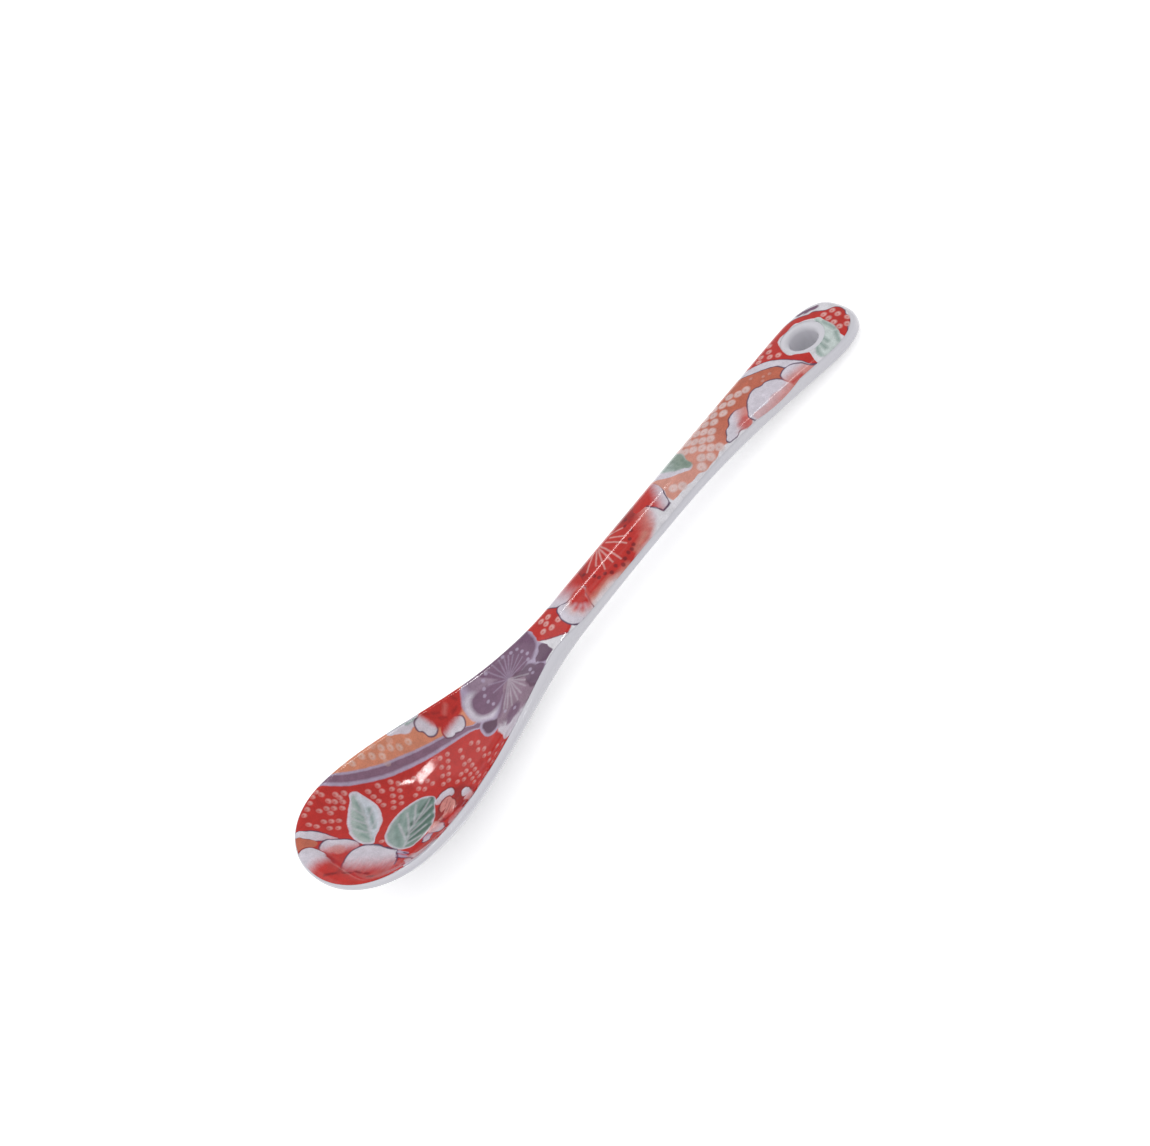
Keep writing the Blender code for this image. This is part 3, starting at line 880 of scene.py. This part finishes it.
bowl.patch(
    DEEP_RED,
    (-46.8, -4.6), (-45.0, -2.6), (-42.0, -3.6), (-40.0, -2.4), (-39.0, -5.0), (-40.0, -9.0),
    (-41.6, -13.6), (-43.2, -13.6), (-43.0, -8.0), (-45.6, -7.2),
    centre=(-42.4, -6.6), soft=0.9, strength=0.65,
)
bowl.petal(
    (-42.4, -1.0), (-44.0, -4.0),
    (-44.4, -1.2), (-43.0, -0.6), (-41.7, -0.7), (-40.8, -1.2), (-40.5, -2.0), (-41.0, -2.9),
    (-41.8, -3.0), (-43.0, -2.2), (-44.3, -1.9),
    line=DEEP_RED,
)
bowl.petal(
    (-43.4, -4.4), (-45.4, -6.6),
    (-45.2, -6.4), (-45.0, -4.5), (-44.3, -2.5), (-43.2, -2.0), (-42.2, -2.2), (-42.0, -3.5),
    (-42.3, -4.8), (-43.3, -5.7),
    pale=PINK, line=DEEP_RED,
)
bowl.strokes(
    DEEP_RED, 0.16,
    ((-44.8, -5.6), (-43.2, -4.4)), ((-44.4, -4.6), (-42.8, -3.6)), ((-43.8, -3.4), (-42.6, -2.7)),
    strength=0.5,
)
bowl.petal(
    (-39.8, -5.0), (-41.2, -8.6),
    (-39.8, -4.1), (-39.2, -4.9), (-39.4, -6.3), (-40.0, -7.8), (-40.8, -8.8), (-41.2, -7.5),
    (-40.9, -5.8), (-40.5, -4.4),
    deep=PINK, line=DEEP_RED,
)
bowl.petal(
    (-44.6, -12.0), (-43.6, -6.4),
    (-46.0, -7.8), (-44.2, -6.8), (-43.0, -7.4), (-42.6, -9.0), (-43.2, -14.6), (-47.2, -15.0),
    (-46.4, -10.6),
    centre=(-44.6, -10.6), line=DEEP_RED,
)
bowl.petal(
    (-38.4, -12.4), (-38.0, -8.8),
    (-39.8, -12.8), (-38.8, -10.6), (-37.6, -9.6), (-36.4, -10.6), (-36.0, -13.0), (-38.0, -14.4),
    line=RED,
)

# Two leaves: a white rim, two halves of their own shade beside the midrib, and streaks between the veins
bowl.begin("Two leaves")


def printed_leaf(film, blade, midrib, left_shade, right_shade, rim):
    """Print a leaf: its two halves beside the midrib have their own shades within a white rim."""
    film.lay(PETAL_WHITE, film.inside(blade))
    base, tip = [Vector(end) for end in midrib]
    middle = (base + tip) / 2
    right = Vector((tip.y - base.y, base.x - tip.x)).normalized() / 2
    halves = film.fade(middle - right, middle + right, 0.0)
    shade = film.add("Mix", halves, left_shade, right_shade, data_type="RGBA")
    shown = film.inside(blade, rim, 0.5)
    film.lay(shade, shown)
    return shown


blade = bowl.outline(
    (-50.5, 10.8), (-50.0, 9.6), (-49.8, 8.2), (-49.9, 6.8), (-50.4, 5.4), (-51.2, 4.1), (-52.3, 3.0),
    (-53.6, 2.0), (-55.0, 1.0), (-56.1, 0.2), (-56.7, 0.8), (-57.1, 2.0), (-57.1, 3.6), (-56.7, 5.2),
    (-55.9, 6.6), (-54.8, 8.0), (-53.4, 9.2), (-52.0, 10.1),
    centre=(-53.4, 5.4),
)
shown = printed_leaf(bowl, blade, [(-55.8, 0.6), (-50.6, 10.4)], PALE_SAGE, BLUE_SAGE, 0.5)
bowl.strokes(
    SAGE, 0.7,
    ((-55.4, 1.2), (-55.6, 3.6)), ((-54.8, 2.8), (-54.9, 5.4)), ((-54.0, 4.4), (-53.8, 6.8)),
    ((-53.0, 6.0), (-52.6, 8.0)), ((-52.2, 7.4), (-51.6, 9.2)), ((-53.4, 3.4), (-52.2, 5.4)),
    ((-52.4, 5.2), (-51.2, 7.2)),
    strength=0.8, soft=0.7, on=shown,
)
bowl.strokes(
    PETAL_WHITE, 0.3,
    ((-55.8, 0.6), (-50.6, 10.4)), ((-54.7, 3.0), (-55.6, 5.6)), ((-53.6, 5.0), (-54.4, 7.8)),
    ((-52.6, 6.8), (-52.8, 9.2)), ((-54.2, 3.4), (-51.8, 4.6)), ((-53.0, 5.6), (-50.8, 6.8)),
    strength=0.5, soft=0.4, on=shown,
)
blade = bowl.outline(
    (-43.4, 0.6), (-44.0, 1.6), (-45.0, 2.3), (-46.4, 2.7), (-48.0, 2.85), (-49.6, 2.6), (-51.2, 2.0),
    (-52.6, 1.1), (-53.8, 0.1), (-54.5, -1.2), (-54.8, -2.6), (-54.7, -4.4), (-54.2, -5.5),
    (-53.4, -6.3), (-52.0, -6.4), (-50.4, -6.1), (-49.0, -5.5), (-47.6, -4.7), (-46.4, -3.7),
    (-45.4, -2.6), (-44.4, -1.2),
    centre=(-49.4, -1.6),
)
shown = printed_leaf(bowl, blade, [(-54.0, -5.4), (-44.0, 0.5)], GREY_SAGE, SAGE, 0.35)
to_edge = bowl.inside(blade, 0.1)
bowl.strokes(
    DEEP_SAGE, 1.1,
    ((-43.8, 0.3), (-46.6, -0.1)), ((-44.8, -1.5), (-49.4, -1.3)), ((-46.2, -3.1), (-51.0, -2.9)),
    ((-48.0, -4.5), (-51.8, -4.2)),
    strength=0.9, soft=0.6, on=to_edge,
)
bowl.strokes(
    SAGE, 0.7,
    ((-51.8, -0.6), (-49.0, 2.0)), ((-50.2, -0.6), (-46.8, 1.8)), ((-53.2, -2.6), (-51.2, 0.4)),
    ((-48.0, 0.0), (-45.0, 1.4)), ((-53.8, -4.0), (-52.6, -2.0)),
    strength=0.75, soft=0.6, on=shown,
)
bowl.strokes(
    PETAL_WHITE, 0.3,
    ((-54.0, -5.4), (-50.4, -2.2), (-44.0, 0.5)), ((-51.2, -2.9), (-46.4, -2.3)),
    ((-49.0, -1.4), (-44.8, -0.8)), ((-52.4, -4.0), (-48.2, -3.7)), ((-53.2, -4.8), (-50.4, -5.2)),
    ((-52.4, -3.8), (-50.6, 0.6)), ((-50.8, -2.4), (-48.2, 1.4)), ((-49.0, -1.4), (-46.2, 1.6)),
    strength=0.6, soft=0.4, on=shown,
)
bowl.strokes(
    PLUM, 0.4,
    ((-57.0, 1.0), (-56.2, 0.0)), ((-56.0, -0.4), (-55.5, -1.4)), ((-55.2, -2.6), (-54.8, -4.4)),
    strength=0.8, soft=0.35,
)

bowl_film = printed_film(
    "fired_bowl_transfer",
    BOWL_ROWS,
    TIP_MARGIN,
    FILMS_PART_AT - FILMS_PART_GAP / 2,
    bowl.fired(),
)
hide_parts("bowl_transfer")

# Handle transfer
# A second film along the handle, with an opening round the hanging hole, fired on beside the first.
# A red peony by the neck, orange tie-dye with white petals, and a red end with rings and leaves.
HANDLE_ROWS = 220
HOLE_MARGIN = 0.3 * MM
LARGE_RING_RADIUS = 0.78
LARGE_RING_EYE_RADIUS = 0.05
LEAF_GREEN = paint("#86968B")
PALE_LEAF = paint("#C3CDCB")
RING_WHITE = paint("#D6BEBC")
PEONY_DARK = paint("#6A1B24")

handle = TransferPrint("Fired transfer print on white and orange", PORCELAIN_WHITE)
handle.begin("Neck of the handle")
neck_patch(handle)

# Red peony by the neck
handle.begin("Red peony")
peony = handle.outline(
    (-4.0, 0.0), (-3.6, -2.0), (-2.6, -3.2), (0.6, -3.4), (2.6, -3.7), (4.0, -4.2), (8.0, -4.4),
    (12.0, -4.1), (14.8, -3.2), (16.2, -1.6), (16.2, 0.4), (15.4, 2.0), (15.4, 5.2), (6.0, 6.0),
    (-3.0, 5.4),
    centre=(6.2, 0.6),
)
blush = handle.fade((11.6, -0.2), (15.4, -2.8))
flush = handle.add("Mix", blush, RED, PINK, data_type="RGBA")
blush = handle.fade((14.0, -1.2), (16.4, -2.8))
flush = handle.add("Mix", blush, flush, PETAL_WHITE, data_type="RGBA")
handle.lay(flush, handle.inside(peony, soft=1.0))
handle.strokes(
    SALMON, 0.9,
    ((-2.2, -3.3), (2.4, -3.5)), ((3.2, -4.1), (6.0, -4.3)), ((9.0, -3.7), (12.0, -3.1)),
    strength=0.7, soft=1.0,
)
handle.strokes(
    DEEP_RED, 0.6,
    ((-1.4, 0.4), (0.2, 1.6), (0.4, 4.0)), ((12.4, 1.0), (14.4, 1.5)), ((12.4, 2.2), (13.4, 4.0)),
    ((2.6, 3.4), (0.8, 4.4)),
    strength=0.55, soft=0.7,
)
handle.patch(
    DEEP_RED,
    (11.2, 2.4), (12.6, 1.2), (14.6, 1.2), (16.0, 2.4), (16.0, 5.6), (11.0, 5.6),
    soft=1.6, strength=0.55,
)
handle.patch(
    DEEP_RED,
    (-1.2, 1.0), (0.6, 0.2), (1.8, 1.6), (1.6, 5.4), (-1.0, 5.4),
    soft=1.4, strength=0.4,
)
handle.strokes(
    RING_PINK, 0.24,
    ((5.4, 2.8), (2.9, 0.3)), ((5.7, 2.6), (3.2, -1.6)), ((6.0, 2.8), (4.9, -1.9)),
    ((6.5, 3.0), (6.1, -2.7)), ((7.5, 2.4), (8.9, -1.6)), ((8.5, 2.4), (9.8, -0.3)),
    ((4.8, 3.2), (1.2, 1.0)), ((9.0, 3.2), (11.0, 1.4)),
    strength=0.8, soft=0.3,
)
handle.dots(
    PEONY_DARK, 0.34,
    (0.2, 2.6), (0.6, 1.3), (1.2, -0.9), (1.4, -1.8), (2.5, -2.2), (3.3, -3.0), (4.6, -2.8),
    (5.5, -3.6), (6.5, -3.2), (7.7, -3.0), (8.5, -3.1), (9.3, -2.8), (9.8, -1.6), (11.2, -0.7),
    (11.5, 1.2), (12.6, 2.2),
    strength=0.75,
)

# Pale petals round the peony
handle.begin("Pale petals")
handle.petal(
    (-6.2, 1.8), (-0.9, 2.5),
    (-7.0, 5.0), (-6.9, 2.6), (-6.4, 1.4), (-5.6, 0.7), (-4.6, 0.1), (-3.6, -0.3), (-2.4, -0.3),
    (-1.0, 0.1), (-0.2, 1.4), (0.0, 5.0),
    centre=(-3.6, 2.4),
)
petal = handle.outline(
    (-6.8, 1.0), (-7.6, -0.4), (-8.0, -2.0), (-7.8, -3.2), (-7.2, -4.0), (-5.4, -4.3), (-3.5, -4.4),
    (-2.9, -3.3), (-2.1, -1.7), (-1.2, -0.6), (-2.6, -0.3), (-4.8, 0.1),
    centre=(-4.8, -1.8),
)
handle.lay(PLUM, handle.inside(petal, -LINE))
handle.lay(PETAL_WHITE, handle.inside(petal, LINE / 2))
handle.patch(
    SALMON,
    (-6.0, -0.8), (-4.6, 0.1), (-1.4, -0.4), (-2.2, -2.2), (-3.1, -4.1), (-4.8, -4.0), (-6.0, -2.8),
    soft=1.2, strength=0.6,
)
handle.patch(
    RED,
    (-5.3, -1.2), (-4.2, 0.1), (-1.4, -0.4), (-2.2, -2.0), (-3.0, -3.4), (-4.3, -3.6), (-5.3, -2.8),
    soft=0.9,
)
handle.strokes(
    PETAL_WHITE, 0.5,
    ((-6.4, -1.2), (-4.7, -1.5)), ((-6.0, -3.0), (-4.3, -2.5)), ((-4.7, -4.2), (-3.8, -3.0)),
    strength=0.6, soft=0.9,
)
handle.strokes(PLUM, 0.2, ((-7.6, -3.7), (-6.8, -4.2)), strength=0.8)
handle.petal(
    (19.8, -1.2), (17.2, 0.4),
    (16.2, 0.2), (16.9, -1.3), (17.2, -3.0), (18.4, -3.0), (19.2, -2.0), (20.0, -0.5), (20.6, 1.0),
    (20.6, 3.0), (20.6, 5.0), (17.0, 5.0), (15.4, 3.0), (14.4, 1.4),
    centre=(18.2, 0.8),
)
handle.strokes(PLUM, 0.3, ((17.0, -3.05), (18.7, -3.1)), ((16.3, 0.1), (17.0, -2.8)), strength=0.8)

# Orange field with rows of large rings, and a salmon tint towards the neck
handle.begin("Orange field")
field = handle.outline(
    (19.4, -3.2), (21.0, -3.3), (23.0, -3.3), (24.4, -3.7), (25.6, -3.5), (26.5, -4.0), (29.0, -4.1),
    (33.0, -3.9), (36.0, -4.1), (40.0, -4.6), (46.0, -5.2), (49.8, -5.0), (50.4, 0.0), (48.0, 6.4),
    (40.0, 6.4), (30.0, 6.4), (20.7, 6.0), (20.6, 2.0), (20.2, -0.4),
    centre=(34.0, 0.6),
)
deepening = handle.fade((24.0, 0.0), (38.0, 0.0))
orange = handle.add("Mix", deepening, SALMON, DEEP_ORANGE, data_type="RGBA")
handle.lay(orange, handle.inside(field))
handle.rings(
    RING_WHITE,
    ((28.0, 1.6), (32.8, 1.4), 3), ((35.2, 1.2), (37.4, 1.0), 2), ((39.8, 1.3), (41.9, 1.6), 2),
    ((43.2, 0.9), (43.2, 0.9), 1), ((28.9, 0.4), (33.4, 0.0), 3), ((29.9, -0.9), (32.1, -0.9), 2),
    ((28.3, -2.1), (30.7, -2.2), 2), ((27.0, -3.2), (31.6, -3.3), 3), ((27.6, 2.8), (36.4, 2.6), 5),
    ((38.8, 2.6), (40.8, 2.9), 2), ((28.8, 3.9), (37.6, 3.8), 5), ((21.2, -1.8), (22.3, -2.8), 2),
    radius=LARGE_RING_RADIUS, eye_radius=LARGE_RING_EYE_RADIUS,
)
handle.dots(RING_WHITE, 0.3, (46.8, 0.0), (47.8, -0.6), (45.6, 2.0), (46.0, -0.6), strength=0.3)

# Green leaf between the peony and the orange: a broad white edge and a mottled blade
handle.begin("Green leaf")
handle.patch(
    PETAL_WHITE,
    (20.8, 3.8), (21.5, 2.3), (22.3, 0.8), (23.4, -0.4), (24.7, -1.4), (26.2, -1.9), (26.5, -1.0),
    (27.0, 0.6), (27.4, 2.9), (27.2, 6.0), (21.0, 6.0),
    centre=(24.6, 2.2),
)
leaf = handle.outline(
    (22.6, 4.0), (23.0, 3.1), (23.5, 1.4), (24.1, 0.2), (25.2, -0.8), (26.3, -1.7), (26.7, -0.5),
    (27.1, 0.8), (27.4, 2.9), (27.2, 6.0), (22.8, 6.0),
    centre=(25.2, 2.2),
)
mottle = handle.fade((23.0, 2.0), (26.4, 1.0), 0.9)
green = handle.add("Mix", mottle, PALE_SAGE, LEAF_GREEN, data_type="RGBA")
handle.lay(green, handle.inside(leaf, soft=0.5))
handle.strokes(
    DEEP_SAGE, 0.35,
    ((25.9, -0.8), (26.5, 1.0)), ((24.6, 0.6), (24.2, 2.8)), ((25.4, 0.6), (25.6, 3.0)),
    strength=0.35, soft=0.5,
)

# White petals along the near side
handle.begin("White petals")
handle.petal(
    (36.0, -2.2), (38.4, -4.2),
    (33.2, -3.9), (33.9, -3.1), (34.8, -2.2), (36.0, -1.8), (36.8, -1.0), (37.8, -0.75), (38.8, -0.85),
    (39.6, -1.4), (40.1, -1.9), (39.7, -2.7), (39.2, -3.4), (38.9, -4.1), (36.5, -4.2), (34.9, -4.3),
    (33.6, -4.1),
    centre=(37.2, -2.6), deep=PINK,
)
handle.patch(
    RED,
    (36.4, -3.6), (37.4, -2.9), (38.6, -2.8), (39.0, -3.4), (38.8, -4.0), (36.6, -4.1),
    soft=0.8, strength=0.6,
)
handle.petal(
    (43.4, -4.2), (43.6, -6.4),
    (38.9, -4.3), (39.5, -3.1), (40.4, -2.1), (41.3, -1.3), (42.3, -0.8), (43.4, -0.5), (44.0, -0.55),
    (44.8, -1.1), (45.8, -1.2), (46.8, -1.9), (47.5, -2.8), (47.9, -4.0), (48.0, -5.4), (47.2, -6.4),
    (43.9, -6.6), (40.6, -6.4), (39.4, -5.2),
    centre=(43.8, -3.2), deep=PINK, line=DARK_MAUVE,
)
# Pink laid over the petal's lower half, below its shoulder: partly the petal's printed pink, partly
# painted shade where the shoulder turns down.
handle.patch(
    PINK,
    (39.4, -4.3), (41.4, -4.25), (43.3, -4.35), (45.8, -4.65), (48.0, -4.95), (48.2, -6.2),
    (44.0, -6.4), (39.8, -5.4),
    centre=(43.8, -5.2), soft=0.4, strength=0.5,
)
handle.petal(
    (50.2, -2.8), (49.8, -5.4),
    (48.2, -2.9), (48.8, -2.5), (49.6, -2.3), (50.4, -2.35), (51.2, -2.7), (51.9, -3.4), (52.3, -4.3),
    (52.9, -5.1), (53.3, -5.8), (51.5, -5.8), (50.0, -5.6), (48.4, -5.4), (48.0, -4.4),
    centre=(50.2, -4.0), deep=PINK,
)
handle.strokes(RED, 0.5, ((48.4, -5.2), (50.4, -5.5)), strength=0.8, soft=0.5)

# Red end with a white band, a bare patch round the hole, a sage leaf and rings
handle.begin("Red end")
band = handle.outline(
    (43.8, 6.4), (44.8, 4.8), (45.8, 3.4), (46.9, 2.3), (48.1, 1.2), (49.1, 0.1), (49.8, -1.0),
    (50.0, -2.2), (50.4, -2.35), (51.2, -2.7), (52.0, -3.6), (53.2, -5.8), (60.0, -6.0), (62.0, 0.0),
    (58.0, 6.0), (50.0, 7.0),
    centre=(57.0, 0.0),
)
handle.lay(PLUM, handle.inside(band, -LINE))
handle.lay(PETAL_WHITE, handle.inside(band, LINE / 2))
end_red = handle.outline(
    (46.4, 6.4), (47.6, 4.2), (48.7, 3.2), (49.8, 2.1), (50.6, 1.0), (51.3, -0.4), (51.9, -1.8),
    (52.5, -3.2), (53.4, -5.8), (58.0, -7.0), (60.0, -6.6), (61.4, -6.0), (62.6, -5.3), (63.4, -5.0),
    (64.4, -4.0), (64.4, -3.2), (65.0, -2.5), (65.2, -1.6), (64.6, -0.2), (63.6, 0.5), (62.9, 1.6),
    (62.3, 2.8), (61.4, 3.2), (60.6, 4.2), (59.6, 5.2), (58.0, 6.0), (55.0, 7.0), (50.0, 7.0),
    centre=(57.0, 0.0),
)
handle.lay(PLUM, handle.inside(end_red, -LINE))
handle.lay(RED, handle.inside(end_red))
handle.patch(
    PORCELAIN_WHITE,
    (52.5, -0.5), (52.8, 0.9), (53.3, 2.0), (53.9, 3.2), (54.5, 3.9), (57.0, 4.0), (58.8, 3.95),
    (59.4, 3.3), (60.3, 2.5), (60.9, 1.7), (61.4, 0.5), (61.6, -1.5), (61.4, -3.5), (60.6, -5.2),
    (59.5, -7.4), (55.6, -7.4), (53.7, -5.9), (54.7, -3.6), (53.6, -2.2),
    centre=(57.2, -0.6),
)
handle.patch(
    PALE_LEAF,
    (61.2, 1.1), (61.6, -0.7), (61.5, -2.5), (61.1, -4.2), (60.2, -5.6), (59.0, -6.6), (56.5, -6.4),
    (55.0, -5.7), (55.6, -4.4), (56.6, -3.5), (57.8, -3.2), (58.8, -2.8), (59.6, -1.8), (60.2, -0.6),
    (60.7, 0.4),
    centre=(59.4, -4.0),
)
handle.strokes(
    SAGE, 0.6,
    ((56.7, -3.6), (55.6, -4.8), (55.3, -5.6)), ((57.2, -3.6), (56.9, -5.4)),
    ((58.4, -3.2), (58.2, -4.7)), ((60.9, 0.4), (59.9, -1.8)), ((61.2, -1.0), (61.0, -3.8)),
    ((60.4, -4.6), (59.4, -6.0)),
    strength=0.75, soft=0.7,
)
handle.rings(
    RING_PINK,
    ((62.6, 0.2), (61.7, -4.3), 4), ((64.0, -0.6), (63.8, -2.1), 2), ((64.1, -4.0), (62.9, -5.0), 2),
    ((50.9, 2.4), (51.8, 1.1), 2), ((49.2, 3.7), (50.3, 4.2), 2), ((51.8, 3.6), (53.0, 4.8), 2),
    radius=HANDLE_RING_RADIUS,
)
handle.patch(
    MAUVE,
    (60.6, 5.6), (61.5, 5.3), (62.6, 4.6), (63.6, 3.7), (64.2, 3.1), (63.3, 2.8), (62.2, 3.6),
    (61.2, 4.5),
    centre=(62.3, 4.3), soft=0.5,
)

handle_film = printed_film(
    "fired_handle_transfer",
    HANDLE_ROWS,
    FILMS_PART_AT + FILMS_PART_GAP / 2,
    LENGTH - END_MARGIN,
    handle.fired(),
)
opening = mouth + HOLE_MARGIN
pierce(handle_film, [(0.0, top), (opening, top), (opening, -top), (0.0, -top)])
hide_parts("handle_transfer")

# Table, light and camera
# A white table that keeps a soft shadow, an even white room that shows dimly in the glaze, and a softbox.
# Four small lamps only make highlights: two on the bowl's print alone, and two on the rest of the spoon.
TABLE_SIZE = 4.0
TABLE_WHITE = paint("#F2F2F2")
TABLE_LIFT = 0.45
TABLE_ROUGHNESS = (0.8, 0.9)
GRIT_SIZE = 12.0 * MM
ROOM_LIGHT = 0.86
ROOM_IN_GLOSS = 0.4
LOOK_AT = Vector((0.0, 0.0, 5.0 * MM))
LAMP_DISTANCE = 0.6
AZIMUTH = math.radians(-18.54)
ELEVATION = math.radians(42.41)
ROLL = math.radians(37.61)
DISTANCE = 574.0 * MM
LENS = 108.86
SENSOR_WIDTH = 36.0
CLIP_START = 10.0 * MM
PHOTO_WIDTH = 1150
LOOK_AT_RIGHT_OF_MIDDLE = 19.2
LOOK_AT_BELOW_MIDDLE = 17.1

bm = bmesh.new()
bmesh.ops.create_grid(bm, x_segments=1, y_segments=1, size=TABLE_SIZE / 2)
table_top = bpy.data.materials.new("White laminate table")
table_top.use_nodes = True
table = new_piece("table", bm, table_top)
nodes = table_top.node_tree
place = add(nodes, "TexCoord", take="Object")
grit = add(nodes, "TexNoise", place, 1 / GRIT_SIZE)
seen = add(nodes, "LightPath").node.outputs
shown = add(nodes, "Math", seen["Is Camera Ray"], seen["Is Glossy Ray"], operation="MAXIMUM")
shown = add(nodes, "Math", shown, seen["Is Transmission Ray"], operation="MAXIMUM")
shader = nodes.nodes["Principled BSDF"]
shader.inputs["Base Color"].default_value = TABLE_WHITE
shader.inputs["Specular IOR Level"].default_value = 0.0
shader.inputs["Emission Color"].default_value = (1.0, 1.0, 1.0, 1.0)
worn = add(nodes, "MapRange", grit, 0.0, 1.0, *TABLE_ROUGHNESS)
lift = add(nodes, "Math", shown, TABLE_LIFT, operation="MULTIPLY")
nodes.links.new(worn, shader.inputs["Roughness"])
nodes.links.new(lift, shader.inputs["Emission Strength"])


def softbox(name, toward, width, depth, brightness):
    """Hang an even panel of light that faces the spoon."""
    toward = Vector(toward).normalized()
    light = bpy.data.lights.new(name, "AREA")
    light.shape = "RECTANGLE"
    light.size = width
    light.size_y = depth
    light.energy = brightness * math.pi * width * depth
    lamp = bpy.data.objects.new(name, light)
    bpy.context.collection.objects.link(lamp)
    lamp.location = LOOK_AT + toward * LAMP_DISTANCE
    lamp.rotation_euler = toward.to_track_quat("Z", "Y").to_euler()
    return lamp


room = bpy.data.worlds.new("Even white room")
room.use_nodes = True
bpy.context.scene.world = room
nodes = room.node_tree
mirrored = add(nodes, "LightPath", take="Is Glossy Ray")
seen = mirrored.node.outputs["Is Camera Ray"]
level = add(nodes, "MapRange", mirrored, 0.0, 1.0, ROOM_LIGHT, ROOM_IN_GLOSS)
level = add(nodes, "Mix", seen, level, 1.0)
nodes.nodes["Background"].inputs["Color"].default_value = (1.0, 1.0, 1.0, 1.0)
nodes.links.new(level, nodes.nodes["Background"].inputs["Strength"])

lamps = {
    "lamp over the bowl": ((0.20, 0.10, 0.975), 0.15, 0.06, 20.0),
    "second lamp over the bowl": ((0.045, 0.255, 0.966), 0.035, 0.20, 22.0),
    "lamp over the handle": ((0.46, 0.0, 0.888), 0.03, 0.06, 9.0),
    "lamp behind": ((0.22, 0.65, 0.72), 0.10, 0.02, 14.0),
}
in_the_bowl = bpy.data.collections.new("Lit by the lamps over the bowl")
in_the_bowl.objects.link(bowl_film)
round_the_bowl = bpy.data.collections.new("Lit by the other lamps")
round_the_bowl.objects.link(body)
round_the_bowl.objects.link(handle_film)
for name, setting in lamps.items():
    lamp = softbox(name, *setting)
    lamp.visible_diffuse = False
    lit = in_the_bowl if name.endswith("bowl") else round_the_bowl
    lamp.light_linking.receiver_collection = lit
softbox("broad softbox", (-0.3, 0.45, 0.84), 0.6, 0.6, 0.5)

back = Vector(
    (
        math.sin(AZIMUTH) * math.cos(ELEVATION),
        -math.cos(AZIMUTH) * math.cos(ELEVATION),
        math.sin(ELEVATION),
    )
)
level_right = Vector((math.cos(AZIMUTH), math.sin(AZIMUTH), 0.0))
level_up = back.cross(level_right)
right = level_right * math.cos(ROLL) - level_up * math.sin(ROLL)
up = level_right * math.sin(ROLL) + level_up * math.cos(ROLL)
camera_data = bpy.data.cameras.new("camera")
camera_data.sensor_width = SENSOR_WIDTH
camera_data.lens = LENS
camera_data.shift_x = -LOOK_AT_RIGHT_OF_MIDDLE / PHOTO_WIDTH
camera_data.shift_y = LOOK_AT_BELOW_MIDDLE / PHOTO_WIDTH
camera_data.clip_start = CLIP_START
camera = bpy.data.objects.new("camera", camera_data)
bpy.context.collection.objects.link(camera)
turned = Matrix((right, up, back)).transposed().to_4x4()
camera.matrix_world = Matrix.Translation(LOOK_AT + back * DISTANCE) @ turned
bpy.context.scene.camera = camera
bpy.context.scene.view_settings.view_transform = "Standard"
